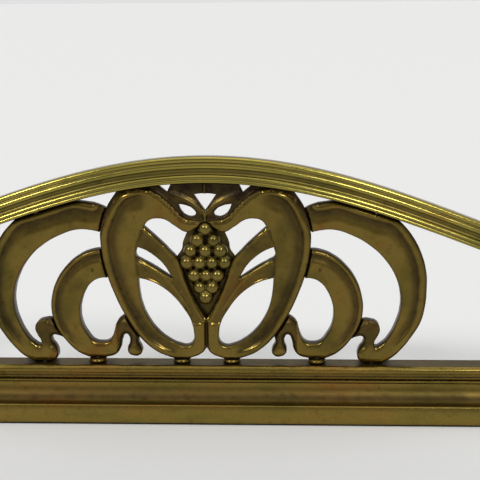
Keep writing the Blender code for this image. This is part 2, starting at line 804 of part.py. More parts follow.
def pillar_profile():
    """A turned pillar with a spigot at each end, from the rail core down to below its nut."""
    foot = KERB_HEIGHT + CLEARANCE
    head = KERB_HEIGHT + LEVEL_CLEARANCE - CLEARANCE
    middle = (foot + head) / 2
    bulb = (head - foot) / 5
    spigot_top = head + CORE_RISE + STUD_REACH
    profile = [(0, spigot_top), (STUD_RADIUS, spigot_top), (STUD_RADIUS, head)]
    ring, base = PILLAR_HEAD_ROUND, PILLAR_FOOT_ROUND
    profile += arc(PILLAR_HEAD - ring, head - ring, ring, ring, 90, -90, 3)
    profile += [(PILLAR_WAIST, head - PILLAR_NECK), (PILLAR_WAIST, middle + bulb)]
    profile += arc(PILLAR_WAIST, middle, PILLAR_BULB - PILLAR_WAIST, bulb, 70, -70)
    profile += [(PILLAR_WAIST, middle - bulb), (PILLAR_WAIST, foot + PILLAR_NECK)]
    profile += arc(PILLAR_FOOT - base, foot + base, base, base, 90, -90, 3)
    tip = nut_bottom() - STUD_END
    return profile + [(STUD_RADIUS, foot), (STUD_RADIUS, tip), (0, tip)]


def make_pillars(group, helpers, brass, steel, kerb, cores):
    """Pillars under the level rail: one at each mitre and one near the end of each return."""
    for side, word in ((-1, "left"), (1, "right")):
        x = side * (SIDE_X - KERB_DEPTH + STUD_LINE)
        places = (
            ("corner", depth_y(STUD_LINE), (kerb[0], kerb[side], cores[0], cores[side])),
            ("return", REAR_Y - PILLAR_INSET, (kerb[side], cores[side])),
        )
        for name, y, drilled in places:
            frame = upright(x, y)
            profile = pillar_profile()
            turned(f"{name}_pillar_{word}", profile, False, frame, group, brass)
            make_nut(f"{name}_pillar_{word}_nut", frame, group, helpers, steel)
            wide = STUD_RADIUS + HOLE_CLEARANCE
            low, high = profile[-1][1] - 1, profile[0][1] + 1
            hole = rod(f"{name}_{word}_hole", wide, low, high, frame, helpers, None)
            for part in drilled:
                drill(part, hole)


def main():
    clear_scene()
    parts = new_collection("fireplace_fender")
    helpers = new_collection("cutters")
    rolled = new_material("rolled_brass", (0.30, 0.22, 0.07), 0.35, 1)
    cast = new_material("cast_brass", (0.27, 0.20, 0.07), 0.4, 1)
    iron = new_material("black_iron", (0.03, 0.027, 0.025), 0.6, 1)
    steel = new_material("steel_fixings", (0.2, 0.19, 0.18), 0.4, 1)
    kerb = make_kerb(parts, helpers, rolled, iron)
    make_brackets(parts, helpers, iron, steel, kerb)
    cores = make_rail(parts, helpers, rolled, iron)
    centre = make_centre_casting(parts, cast)
    bunch = make_bunch(parts, helpers, cast)
    scrolls = make_scrolls(parts, helpers, cast)
    make_feet(parts, helpers, cast, steel, kerb[0], centre, scrolls)
    make_rail_studs(parts, helpers, steel, cores[0], centre, scrolls)
    make_rear_screws(parts, helpers, steel, centre, bunch, scrolls)
    make_pillars(parts, helpers, cast, steel, kerb, cores)


main()
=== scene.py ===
import math
import bmesh
import bpy
import numpy as np
from mathutils import Matrix, Vector, noise
from mathutils.geometry import delaunay_2d_cdt


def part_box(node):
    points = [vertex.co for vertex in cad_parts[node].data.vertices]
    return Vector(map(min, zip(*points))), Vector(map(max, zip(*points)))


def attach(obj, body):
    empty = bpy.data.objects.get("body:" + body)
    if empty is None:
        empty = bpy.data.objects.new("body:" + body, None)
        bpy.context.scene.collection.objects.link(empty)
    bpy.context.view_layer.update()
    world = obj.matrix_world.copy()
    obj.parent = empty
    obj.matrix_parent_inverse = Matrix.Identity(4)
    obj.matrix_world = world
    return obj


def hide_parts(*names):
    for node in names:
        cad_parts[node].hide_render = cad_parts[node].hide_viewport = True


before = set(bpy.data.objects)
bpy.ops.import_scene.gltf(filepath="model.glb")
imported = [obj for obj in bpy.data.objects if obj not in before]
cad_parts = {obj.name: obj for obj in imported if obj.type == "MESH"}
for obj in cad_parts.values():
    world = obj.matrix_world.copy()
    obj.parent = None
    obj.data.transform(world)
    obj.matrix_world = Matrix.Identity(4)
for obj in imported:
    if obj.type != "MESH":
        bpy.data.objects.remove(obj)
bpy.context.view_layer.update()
mm = 0.001

# The frame gives every place: the kerb's faces, the crown of the rail and how wide the fender is.
kerbLow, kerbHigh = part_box("kerb_front")
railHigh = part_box("rail_front")[1]
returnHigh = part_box("kerb_right")[1]
capLow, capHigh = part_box("rail_cap_right")

fender = {
    "frontY": kerbLow[1] / mm,
    "innerY": kerbHigh[1] / mm,
    "kerbTop": kerbHigh[2] / mm,
    "sideX": returnHigh[0] / mm,
    "rearY": capHigh[1] / mm,
    "plate": (capHigh[1] - capLow[1]) / mm,
    "crown": railHigh[2] / mm,
    "studLine": 10.5,  # from the kerb's inner face to the line of the feet
    "gap": 0.3,  # between pieces that touch
}
fender["innerX"] = fender["sideX"] - (fender["innerY"] - fender["frontY"])
hands = ((-1, "left"), (1, "right"))
print("frame loaded, kerb top at", round(fender["kerbTop"], 1), "mm")


def arcPoints(centre, reach, start, end, steps=12):
    turns = np.radians(np.linspace(start, end, steps + 1))
    return [(centre[0] + reach[0] * math.cos(t), centre[1] + reach[1] * math.sin(t)) for t in turns]


# A smooth line through knots, with a straight-sided corner wherever a knot's third value says so.
def smoothLine(knots, closed=True, step=1.1):
    count = len(knots)
    spots = [Vector(k[:2]) for k in knots]
    sharp = [len(k) > 2 and bool(k[2]) for k in knots]
    arms = []
    for i, spot in enumerate(spots):
        if closed:
            before, after = spots[i - 1], spots[(i + 1) % count]
        else:
            before = spots[i - 1] if i else spot * 2 - spots[1]
            after = spots[i + 1] if i < count - 1 else spot * 2 - spots[i - 1]
        if sharp[i]:
            arms.append((spot + (before - spot) / 3, spot + (after - spot) / 3))
            continue
        back, ahead = (spot - before).length, (after - spot).length
        turn = (after - spot) / max(ahead, 1e-6) + (spot - before) / max(back, 1e-6)
        reach = max(turn.length * 2.5614, 1e-6)
        arms.append((spot - turn * (back / reach), spot + turn * (ahead / reach)))
    line = []
    for i in range(count if closed else count - 1):
        j = (i + 1) % count
        a, b, c, d = spots[i], arms[i][1], arms[j][0], spots[j]
        parts = max(2, math.ceil((d - a).length / step))
        for t in np.arange(parts) / parts:
            u = 1 - t
            line.append(a * u ** 3 + b * (3 * u * u * t) + c * (3 * u * t * t) + d * t ** 3)
    if not closed:
        line.append(spots[-1])
    return np.array([tuple(p) for p in line])


# Distance from each point to a line, a few thousand points at a time.
def distanceTo(points, line, closed=True):
    ends = np.roll(line, -1, axis=0) if closed else line[1:]
    starts = line if closed else line[:-1]
    runs = ends - starts
    lengths = np.maximum((runs ** 2).sum(axis=1), 1e-9)
    found = np.empty(len(points))
    for i in range(0, len(points), 2000):
        offset = points[i:i + 2000, None, :] - starts[None]
        share = np.clip((offset * runs[None]).sum(axis=2) / lengths, 0, 1)
        near = offset - share[..., None] * runs[None]
        found[i:i + 2000] = np.sqrt((near ** 2).sum(axis=2).min(axis=1))
    return found


def isInside(points, outline):
    starts, ends = outline, np.roll(outline, -1, axis=0)
    found = np.zeros(len(points), bool)
    for i in range(0, len(points), 2000):
        x, y = points[i:i + 2000, 0:1], points[i:i + 2000, 1:2]
        spans = (starts[None, :, 1] > y) != (ends[None, :, 1] > y)
        rise = ends[None, :, 1] - starts[None, :, 1]
        rise = np.where(rise == 0, 1e-9, rise)
        cross = starts[None, :, 0] + (y - starts[None, :, 1]) * (ends[:, 0] - starts[:, 0])[None] / rise
        found[i:i + 2000] = (spans & (x < cross)).sum(axis=1) % 2 == 1
    return found


# Distance outside an outline, negative within it.
def outsideOf(points, outline):
    return distanceTo(points, outline) * np.where(isInside(points, outline), -1, 1)


def easeIn(share):
    share = np.clip(share, 0, 1)
    return share * share * (3 - 2 * share)


# Rises from 0 at the start to 1 after the run, or falls where the run is below zero.
def ramp(values, start, run):
    return easeIn((values - start) / run)


# 1 on a line and close to 0 from twice the width away.
def bell(away, width):
    return np.exp(-(away / width) ** 2)


def newObject(name, data):
    thing = bpy.data.objects.new(name, data)
    bpy.context.scene.collection.objects.link(thing)
    return thing


def newPiece(name, verts, faces, material):
    mesh = bpy.data.meshes.new(name)
    mesh.from_pydata([tuple(v) for v in verts], [], [tuple(f) for f in faces])
    mesh.validate()
    form = bmesh.new()
    form.from_mesh(mesh)
    bmesh.ops.recalc_face_normals(form, faces=form.faces)
    form.to_mesh(mesh)
    form.free()
    mesh.materials.append(material)
    mesh.shade_smooth()
    return newObject(name, mesh)


# The piece's mesh as its modifiers leave it.
def settledMesh(piece):
    graph = bpy.context.evaluated_depsgraph_get()
    mesh = bpy.data.meshes.new_from_object(piece.evaluated_get(graph))
    piece.modifiers.clear()
    return mesh


def layTarnishAndShade(mesh, values):
    mesh.attributes.new("tarnishAndShade", "FLOAT", "POINT").data.foreach_set("value", values)


def finishPiece(piece, node):
    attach(piece, "root")
    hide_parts(node)


def toLinear(hexColour):
    values = [int(hexColour[i:i + 2], 16) / 255 for i in (1, 3, 5)]
    return tuple(v / 12.92 if v <= 0.04045 else ((v + 0.055) / 1.055) ** 2.4 for v in values) + (1,)


def setInputs(tree, node, inputs):
    for key, value in inputs.items():
        if isinstance(value, bpy.types.NodeSocket):
            tree.links.new(value, node.inputs[key])
        else:
            node.inputs[key].default_value = value


def addNode(tree, kind, inputs=None, stops=None, **settings):
    node = tree.nodes.new(kind)
    for key, value in settings.items():
        setattr(node, key, value)
    setInputs(tree, node, inputs or {})
    if stops:
        band = node.color_ramp
        while len(band.elements) < len(stops):
            band.elements.new(0.5)
        for element, (where, colour) in zip(band.elements, stops):
            element.position = where
            element.color = toLinear(colour) if isinstance(colour, str) else (colour, colour, colour, 1)
    return node


def newMaterial(name):
    material = bpy.data.materials.new(name)
    material.use_nodes = True
    return material, material.node_tree, material.node_tree.nodes["Principled BSDF"]


# A pattern's scale from the size of its marks in millimetres.
def scaleFor(size):
    return 1 / (size * mm)


noiseLow, noiseHigh = 0.3, 0.7  # a noise pattern seldom leaves this span


# Brass that was polished once and has been left to darken: a thin brown tarnish lies in drifting patches,
# the hollows and creases are darkened with tarnish and painted shade, and the raised edges that hands and
# dusters reach stay bright.
def agedBrass(name, look):
    material, tree, shader = newMaterial(name)
    where = addNode(tree, "ShaderNodeTexCoord").outputs["Object"]
    if look["alongRun"]:
        where = addNode(tree, "ShaderNodeUVMap", uv_map="run").outputs["UV"]
    drift = addNode(tree, "ShaderNodeMapping", {"Vector": where, "Scale": look["driftStretch"]})
    patch = addNode(tree, "ShaderNodeTexNoise", {
        "Vector": drift.outputs[0], "Scale": scaleFor(look["patchSize"]), "Detail": 5, "Roughness": 0.6,
    })
    tone = addNode(tree, "ShaderNodeValToRGB", {"Fac": patch.outputs[0]}, stops=look["tones"])
    spots = addNode(tree, "ShaderNodeTexNoise", {
        "Vector": where, "Scale": scaleFor(look["spotSize"]), "Detail": 7, "Roughness": 0.7,
    }).outputs[0]
    spotMask = addNode(tree, "ShaderNodeValToRGB", {"Fac": spots}, stops=look["spotStops"])
    spotted = addNode(tree, "ShaderNodeMix", {
        0: spotMask.outputs[0], 6: tone.outputs[0], 7: toLinear(look["spotColour"]),
    }, data_type="RGBA")

    # darker where surfaces close in on each other: tarnish and painted shade
    shut = addNode(tree, "ShaderNodeAmbientOcclusion", {"Distance": look["shutSize"] * mm}, samples=6)
    shutShare = addNode(tree, "ShaderNodeValToRGB", {"Fac": shut.outputs["AO"]}, stops=look["shutStops"])
    # and in the creases and recesses, where the shapes below lay tarnish and painted shade
    laid = addNode(tree, "ShaderNodeAttribute", attribute_name="tarnishAndShade")
    breakUp = addNode(tree, "ShaderNodeMapRange", {
        0: spots, 1: noiseLow, 2: noiseHigh, 3: look["laidBreak"], 4: 1.1,
    })
    laidShare = addNode(tree, "ShaderNodeMath", {
        0: laid.outputs["Fac"], 1: breakUp.outputs[0],
    }, operation="MULTIPLY")
    dark = addNode(tree, "ShaderNodeMath", {
        0: shutShare.outputs[0], 1: laidShare.outputs[0],
    }, operation="MAXIMUM", use_clamp=True).outputs[0]
    if look["sideSkinAndShade"]:
        # the sides of a casting keep the dark skin of the sand, since only its face is polished, and are
        # painted darker as shade
        facing = addNode(tree, "ShaderNodeSeparateXYZ", {
            0: addNode(tree, "ShaderNodeNewGeometry").outputs["Normal"],
        })
        start, end = look["sideTurn"]
        side = addNode(tree, "ShaderNodeMapRange", {
            0: facing.outputs[1], 1: start, 2: end, 3: 0.0, 4: look["sideSkinAndShade"],
        })
        dark = addNode(tree, "ShaderNodeMath", {
            0: dark, 1: side.outputs[0],
        }, operation="MAXIMUM", use_clamp=True).outputs[0]
    darkened = addNode(tree, "ShaderNodeMix", {
        0: dark, 6: spotted.outputs[2], 7: toLinear(look["tarnishAndShade"]),
    }, data_type="RGBA")
    edge = addNode(tree, "ShaderNodeValToRGB", {
        "Fac": addNode(tree, "ShaderNodeNewGeometry").outputs["Pointiness"],
    }, stops=look["edgeStops"])
    worn = addNode(tree, "ShaderNodeMix", {
        0: edge.outputs[0], 6: darkened.outputs[2], 7: toLinear(look["wornEdge"]),
    }, data_type="RGBA")

    metal = addNode(tree, "ShaderNodeMapRange", {0: dark, 3: 1.0, 4: look["tarnishMetal"]})
    smoothest, roughest = look["roughness"]
    rough = addNode(tree, "ShaderNodeMapRange", {
        0: spots, 1: noiseLow, 2: noiseHigh, 3: smoothest, 4: roughest,
    })
    dull = addNode(tree, "ShaderNodeMath", {0: dark, 1: look["tarnishRough"]}, operation="MULTIPLY")
    rougher = addNode(tree, "ShaderNodeMath", {0: rough.outputs[0], 1: dull.outputs[0]}, operation="ADD")

    # grain left by the sand or the rolls: real grain is under 0.2 mm, and is drawn coarser so that it shows
    grainWay = addNode(tree, "ShaderNodeMapping", {"Vector": where, "Scale": look["grainStretch"]})
    grain = addNode(tree, "ShaderNodeTexNoise", {
        "Vector": grainWay.outputs[0], "Scale": scaleFor(look["grainSize"]), "Detail": 3,
    })
    ripple = addNode(tree, "ShaderNodeTexNoise", {
        "Vector": where, "Scale": scaleFor(look["rippleSize"]), "Detail": 1,
    })
    # a few of the cells hold a pit
    cells = addNode(tree, "ShaderNodeTexVoronoi", {"Vector": where, "Scale": scaleFor(look["pitSpacing"])})
    pit = addNode(tree, "ShaderNodeValToRGB", {"Fac": cells.outputs["Distance"]}, stops=look["pitStops"])
    chosen = addNode(tree, "ShaderNodeMath", {
        0: cells.outputs["Color"], 1: look["pitShare"],
    }, operation="LESS_THAN")
    pits = addNode(tree, "ShaderNodeMath", {0: pit.outputs[0], 1: chosen.outputs[0]}, operation="MULTIPLY")
    grainBump = addNode(tree, "ShaderNodeBump", {
        "Height": grain.outputs[0], "Strength": look["grainStrength"],
        "Distance": look["grainSize"] * mm * 0.3,
    })
    rippleBump = addNode(tree, "ShaderNodeBump", {
        "Height": ripple.outputs[0], "Strength": look["rippleStrength"],
        "Distance": look["rippleSize"] * mm * 0.1, "Normal": grainBump.outputs[0],
    })
    pitBump = addNode(tree, "ShaderNodeBump", {
        "Height": pits.outputs[0], "Strength": 0.8, "Distance": look["pitDepth"] * mm,
        "Normal": rippleBump.outputs[0],
    }, invert=True)
    setInputs(tree, shader, {
        "Base Color": worn.outputs[2], "Metallic": metal.outputs[0], "Roughness": rougher.outputs[0],
        "Normal": pitBump.outputs[0],
    })
    return material


# Sand-cast brass, fettled and polished on its face, so it shows soft ripples, a dark skin in the hollows
# that is deepened with painted shade, and a few blow holes. All sizes are in millimetres.
castLook = {
    "alongRun": False,
    "driftStretch": (1, 1, 1),
    "patchSize": 42,
    "tones": ((0.3, "#5c5226"), (0.45, "#74622e"), (0.56, "#7e6a32"), (0.72, "#7b5728")),
    "spotSize": 9,
    "spotStops": ((0.56, 0.0), (0.75, 0.65)),
    "spotColour": "#4a381b",
    # the sides' dark skin is also painted shade on faces turned away from the room
    "sideSkinAndShade": 0.78,
    "sideTurn": (-0.75, -0.2),  # how squarely a surface faces the room where the skin starts and is whole
    "laidBreak": 0.75,
    "shutSize": 6,
    "shutStops": ((0.3, 1.0), (0.82, 0.0)),
    "tarnishAndShade": "#24170a",
    "tarnishMetal": 0.8,
    "tarnishRough": 0.25,
    "edgeStops": ((0.55, 0.0), (0.66, 0.4)),
    "wornEdge": "#b5a455",
    "roughness": (0.14, 0.26),
    "grainStretch": (1, 1, 1),
    "grainSize": 0.9,
    "grainStrength": 0.06,
    "rippleSize": 11,
    "rippleStrength": 0.25,
    "pitSpacing": 13,
    "pitShare": 0.12,
    "pitStops": ((0.05, 1.0), (0.13, 0.0)),
    "pitDepth": 0.5,
}

# Rolled and drawn brass sheet, formed over iron: long faint lines run along it and the stains follow them.
rolledLook = castLook | {
    "alongRun": True,
    "driftStretch": (0.35, 1, 1),
    "patchSize": 34,
    "tones": ((0.3, "#665a29"), (0.46, "#7d6b33"), (0.58, "#856b34"), (0.72, "#875e2a")),
    "spotSize": 12,
    "spotStops": ((0.55, 0.0), (0.72, 0.6)),
    "spotColour": "#463519",
    "sideSkinAndShade": 0,
    "laidBreak": 0.85,
    "shutStops": ((0.3, 1.0), (0.8, 0.0)),
    "tarnishAndShade": "#2a1b0b",
    "tarnishMetal": 0.85,
    "edgeStops": ((0.54, 0.0), (0.62, 0.5)),
    "wornEdge": "#b7a752",
    "roughness": (0.2, 0.34),
    "grainStretch": (0.03, 1, 1),
    "grainSize": 0.8,
    "grainStrength": 0.12,
    "rippleSize": 60,
    "rippleStrength": 0.12,
    "pitSpacing": 17,
    "pitShare": 0.16,
}


# Wrought iron bar with its mill scale on: blue-black, dull, with rust creeping in from the damp hearth.
# Real scale is finer than 1 mm and is drawn coarser so that it shows.
ironLook = {
    "rustSize": 11.1,
    "rustDetail": 8,
    "rustBreak": 0.7,
    "tones": ((0.42, "#1b1917"), (0.56, "#2a211b"), (0.7, "#4c3222")),
    "metal": 0.7,
    "roughness": (0.45, 0.85),
    "ringSpacing": 0,
    "markSize": 1.43,
    "markStrength": 0.4,
    "markDepth": 0.2,
}

# Turned mild steel of the screws, studs and nuts: grey, with rings from the tool and a brown bloom.
# Real tool rings are about 0.2 mm apart and are drawn coarser so that they show.
steelLook = {
    "rustSize": 3.85,
    "rustDetail": 6,
    "rustBreak": 0.65,
    "tones": ((0.4, "#6f6b64"), (0.58, "#5a5148"), (0.72, "#50382a")),
    "metal": 1,
    "roughness": (0.3, 0.6),
    "ringSpacing": 2,
    "markSize": 0,
    "markStrength": 0.2,
    "markDepth": 0.1,
}


def rustedMetal(name, look):
    material, tree, shader = newMaterial(name)
    where = addNode(tree, "ShaderNodeTexCoord").outputs["Object"]
    rust = addNode(tree, "ShaderNodeTexNoise", {
        "Vector": where, "Scale": scaleFor(look["rustSize"]), "Detail": look["rustDetail"],
        "Roughness": look["rustBreak"],
    })
    tone = addNode(tree, "ShaderNodeValToRGB", {"Fac": rust.outputs[0]}, stops=look["tones"])
    smoothest, roughest = look["roughness"]
    rough = addNode(tree, "ShaderNodeMapRange", {0: rust.outputs[0], 3: smoothest, 4: roughest})
    if look["ringSpacing"]:
        marks = addNode(tree, "ShaderNodeTexWave", {
            "Vector": where, "Scale": scaleFor(look["ringSpacing"]), "Distortion": 1.5, "Detail": 2,
        }, bands_direction="Z")
    else:
        marks = addNode(tree, "ShaderNodeTexNoise", {
            "Vector": where, "Scale": scaleFor(look["markSize"]), "Detail": 4,
        })
    bump = addNode(tree, "ShaderNodeBump", {
        "Height": marks.outputs[0], "Strength": look["markStrength"], "Distance": look["markDepth"] * mm,
    })
    setInputs(tree, shader, {
        "Base Color": tone.outputs[0], "Roughness": rough.outputs[0], "Metallic": look["metal"],
        "Normal": bump.outputs[0],
    })
    return material


castBrass = agedBrass("castBrass", castLook)
# The berries stand proud, so a duster keeps them brighter than the casting round them.
berryBrass = agedBrass("berryBrass", castLook | {
    "tones": ((0.3, "#7d7237"), (0.5, "#9a8a45"), (0.72, "#94733a")),
    "sideSkinAndShade": 0.25,
    "shutSize": 4.5,
    "roughness": (0.12, 0.22),
})
# Turned on a lathe all over, so it has no skin left on its sides.
turnedBrass = agedBrass("turnedBrass", castLook | {"sideSkinAndShade": 0, "grainStretch": (1, 1, 4)})
rolledBrass = agedBrass("rolledBrass", rolledLook)
# The rail is touched and wiped most, so it is the brightest brass; only its hollows are darkened, with
# stains and painted shade.
burnishedBrass = agedBrass("burnishedBrass", rolledLook | {
    "tones": ((0.3, "#7d7538"), (0.46, "#998c43"), (0.6, "#a19147"), (0.76, "#87662c")),
    "spotStops": ((0.6, 0.0), (0.76, 0.6)),
    "shutSize": 5,
    "grainStrength": 0.05,
    "roughness": (0.13, 0.22),
})
millIron = rustedMetal("millScaleIron", ironLook)
mildSteel = rustedMetal("turnedMildSteel", steelLook)
print("finishes made")


# Every run is a section of (out, height) carried along by a function of a station and a distance out.
def sweepRun(name, section, stations, spot, material, darkening):
    section = np.array(section)
    around = np.concatenate([[0], np.cumsum(np.hypot(*np.diff(section, axis=0).T))])
    verts, coords = [], []
    for station in stations:
        for (out, height), length in zip(section, around):
            place = spot(station, out, height)
            verts.append(Vector(place) * mm)
            coords.append((station * mm, length * mm))
    count = len(section)
    faces = []
    for i in range(len(stations) - 1):
        for j in range(count):
            k = (j + 1) % count
            a, b = i * count, (i + 1) * count
            faces.append((a + j, a + k, b + k, b + j))
    last = (len(stations) - 1) * count
    faces.append(tuple(range(count - 1, -1, -1)))
    faces.append(tuple(range(last, last + count)))
    piece = newPiece(name, verts, faces, material)
    mesh = piece.data
    layer = mesh.uv_layers.new(name="run")
    for loop in mesh.loops:
        layer.data[loop.index].uv = coords[loop.vertex_index]
    mesh.set_sharp_from_angle(angle=math.radians(38))
    layTarnishAndShade(mesh, np.tile([darkening(*spot) for spot in section], len(stations)))
    return piece


# The kerb's moulding: a flat, a nose of two beads, a quirk, a fillet, a cove and the fascia, in millimetres.
kerbShape = {
    "sheet": 1.6,
    "flat": 20.7,
    "upperBead": 4.5,
    "lowerBead": 3.95,
    "upperOut": 0.5,  # the beads' middles, out from the edge of the flat
    "lowerOut": -0.4,
    "lap": 2.4,
    "quirk": 1.1,
    "quirkIn": 2.2,
    "filletIn": 0.2,
    "filletLip": 1.0,
    "fillet": 2.6,
    "fascia": 20.2,
    "step": 1.5,
    "foot": kerbLow[2] / mm,
}
# Dark bands on a moulding, dirt and painted shade in its quirks and hollows: height, how far it spreads, how
# thick it lies.
kerbDirtAndShadeBands = ((46.9, 0.9, 0.95), (29.0, 4.2, 0.5), (24.5, 3.0, 0.6))
railDirtAndShadeBands = ((19.0, 0.9, 0.95), (13.2, 0.7, 0.9), (10.4, 2.4, 0.75), (3.9, 0.6, 0.85))


def gathered(darkBands, height):
    return min(1, sum(share * bell(height - at, wide) for at, wide, share in darkBands))


def kerbDirtAndShade(out, height):
    if out < 1:
        return 0.5  # the face that looks into the hearth
    if height < kerbShape["fascia"] + 0.4:
        return 0.0
    # the flat top is laid darker, its front edge less so
    if height > fender["kerbTop"] - 0.1:
        return 0.35 if out < kerbShape["flat"] - 2 else 0.1
    return gathered(kerbDirtAndShadeBands, height)


# the rail's creases and hollows are darkened with stains and painted shade, and its back more evenly
def railDirtAndShade(out, height):
    return 0.4 if out < 4 else gathered(railDirtAndShadeBands, height)


def kerbLine():
    shape = kerbShape
    depth = fender["innerY"] - fender["frontY"]
    big, small = shape["upperBead"], shape["lowerBead"]
    upper = fender["kerbTop"] - big
    lower = upper - big - small + shape["lap"]
    filletOut = shape["flat"] - shape["filletIn"]
    filletTop = lower - small - shape["quirk"]
    quirkOut = filletOut - shape["quirkIn"]
    coveTop = filletTop - shape["fillet"]
    coveOut = filletOut + shape["filletLip"]
    reach = depth - shape["step"] - coveOut
    fall = coveTop - shape["fascia"] - shape["step"] / 2
    line = [(0, shape["foot"]), (0, fender["kerbTop"] - 0.5), (0.5, fender["kerbTop"])]
    line += [(out, fender["kerbTop"]) for out in (6, 12, 17)]
    line += arcPoints((shape["flat"] + shape["upperOut"], upper), (big, big), 90, -36, 16)
    line += arcPoints((shape["flat"] + shape["lowerOut"], lower), (small, small), 18, -80, 14)
    line += [(filletOut - shape["quirkIn"] * 0.5, lower - small), (quirkOut, lower - small - 0.3)]
    line += [(quirkOut, filletTop + 0.1), (filletOut, filletTop), (filletOut + 0.2, filletTop - 0.3)]
    line += [(filletOut + 0.2, coveTop + 0.5), (filletOut, coveTop + 0.2)]
    line += arcPoints((coveOut + reach, coveTop), (-reach, -fall), 0, 90, 22)
    line += [(depth - 0.35, shape["fascia"] + 0.1), (depth, shape["fascia"] - 0.4)]
    line += [(depth, shape["foot"] + 0.6), (depth - 0.4, shape["foot"])]
    return line


# The inside of a sheet moulding is its outside moved in by the sheet's thickness.
def insideLine(line, thickness):
    moved = []
    for i, (x, y) in enumerate(line):
        a, b = line[max(i - 1, 0)], line[min(i + 1, len(line) - 1)]
        run = Vector((b[0] - a[0], b[1] - a[1])).normalized()
        moved.append((x + run.y * thickness, y - run.x * thickness))
    return moved


def frontSpot(t, out, height):
    edge = fender["innerX"] + out - fender["gap"] / math.sqrt(2)
    x = max(-1, min(1, t / fender["sideX"])) * edge
    return (x, fender["innerY"] - out, height)


def returnSpot(side):
    def spot(t, out, height):
        start = fender["innerY"] - out + fender["gap"] / math.sqrt(2)
        end = fender["rearY"] - fender["plate"] - fender["gap"]
        share = t / (fender["rearY"] - fender["frontY"])
        return (side * (fender["innerX"] + out), start + (end - start) * share, height)
    return spot


def makeKerb():
    outside = kerbLine()
    inside = insideLine(outside, kerbShape["sheet"])
    inside = [(max(out, kerbShape["sheet"]), max(height, kerbShape["foot"])) for out, height in inside]
    kept = [inside[0]]
    for spot in inside[1:]:
        if math.dist(spot, kept[-1]) > 0.6:
            kept.append(spot)
    section = outside + list(reversed(kept))
    stations = np.linspace(-fender["sideX"], fender["sideX"], 221)
    made = [sweepRun("kerbFront", section, stations, frontSpot, rolledBrass, kerbDirtAndShade)]
    depth = fender["rearY"] - fender["frontY"]
    for side, word in hands:
        stations = np.linspace(0, depth, 61)
        name = "kerb" + word.title()
        made.append(sweepRun(name, section, stations, returnSpot(side), rolledBrass, kerbDirtAndShade))
    for piece, node in zip(made, ("kerb_front", "kerb_left", "kerb_right")):
        finishPiece(piece, node)


# The rail is a drawn moulding, 21 deep and 25 high: two reeds, a hollow, an ovolo and a bottom bead. Each
# bend is the centre of an arc, its reach out and up, and its first and last angle.
railShape = {
    "height": 25,
    "drop": 126,
    "sweep": 520,
    "back": ((0.8, 0.8), (0, 3), (0, 12)),
    "bends": (
        ((4, 20), (4, 5), 180, 90),
        ((14.5, 21.9), (3.1, 3.1), 90, -50),
        ((15.4, 16.1), (2.9, 2.9), 55, -60),
        ((18.8, 10.8), (-2.6, 3.0), 30, -40),
        ((16.6, 4.8), (3.6, 3.4), 75, -10),
        ((19.1, 1.9), (1.9, 1.9), 60, -90),
    ),
    "coreWidth": 7,
    "coreTop": 15,
}


def railSection():
    line = list(railShape["back"])
    for centre, reach, start, end in railShape["bends"]:
        line += arcPoints(centre, reach, start, end, 11)
    middle, half = fender["studLine"], railShape["coreWidth"] / 2 + fender["gap"]
    roof = railShape["coreTop"] + fender["gap"]
    line += [(middle + half, 0), (middle + half, roof), (middle - half, roof), (middle - half, 0)]
    return line


def railUnder(x):
    swept = min(abs(x), railShape["sweep"])
    fall = railShape["drop"] * (1 - math.cos(math.pi * swept / railShape["sweep"])) / 2
    return fender["crown"] - railShape["height"] - fender["kerbTop"] - fall


def railSpot(t, out, height):
    sweep = railShape["sweep"]
    if abs(t) > sweep:
        edge = fender["innerX"] + out - fender["gap"] / math.sqrt(2)
        share = (abs(t) - sweep) / (fender["sideX"] - sweep)
        x = math.copysign(sweep + (edge - sweep) * share, t)
        return (x, fender["innerY"] - out, fender["kerbTop"] + railUnder(sweep) + height)
    slope = railUnder(t + 0.5) - railUnder(t - 0.5)
    size = math.hypot(1, slope)
    x = t - height * slope / size
    z = fender["kerbTop"] + railUnder(t) + height / size
    return (x, fender["innerY"] - out, z)


def makeRail():
    section = railSection()
    stations = np.linspace(-fender["sideX"], fender["sideX"], 265)
    piece = sweepRun("railFront", section, stations, railSpot, burnishedBrass, railDirtAndShade)
    finishPiece(piece, "rail_front")
    under = fender["kerbTop"] + railUnder(railShape["sweep"])
    raised = [(out, height + under) for out, height in section]
    stations = np.linspace(0, fender["rearY"] - fender["frontY"], 61)

    def darkening(out, height):
        return railDirtAndShade(out, height - under)

    for side, word in hands:
        piece = sweepRun("rail" + word.title(), raised, stations, returnSpot(side), burnishedBrass, darkening)
        finishPiece(piece, "rail_" + word)


# The end plates are laid darker towards the bottom.
def plateLowDarkening(out, height):
    return 0.5 * math.exp(-height / 6)


# Flat brass plates close the rear ends of the kerb and of the rail, with their rear edges eased.
def makeEndPlates():
    under = fender["kerbTop"] + railUnder(railShape["sweep"])
    depth = fender["innerY"] - fender["frontY"]
    kerbEdge = [(0, 0)] + kerbLine()[1:-2] + [(depth, 0.4), (depth - 0.4, 0)]
    railEdge = [(out, height + under) for out, height in railSection()[:-4]]
    ends = (fender["rearY"] - fender["plate"], fender["rearY"] - 0.3, fender["rearY"])
    for side, word in hands:
        for title, edge, node in (("endPlate", kerbEdge, "end_plate_"), ("railCap", railEdge, "rail_cap_")):

            def spot(t, out, height, middle=np.mean(edge, axis=0)):
                share = 0.985 if t == ends[2] else 1
                out, height = middle + (np.array((out, height)) - middle) * share
                return (side * (fender["innerX"] + out), t, max(height, 0))

            piece = sweepRun(title + word.title(), edge, ends, spot, rolledBrass, plateLowDarkening)
            finishPiece(piece, node + word)


makeKerb()
print("kerb made")
makeRail()
makeEndPlates()
print("rail and end plates made")


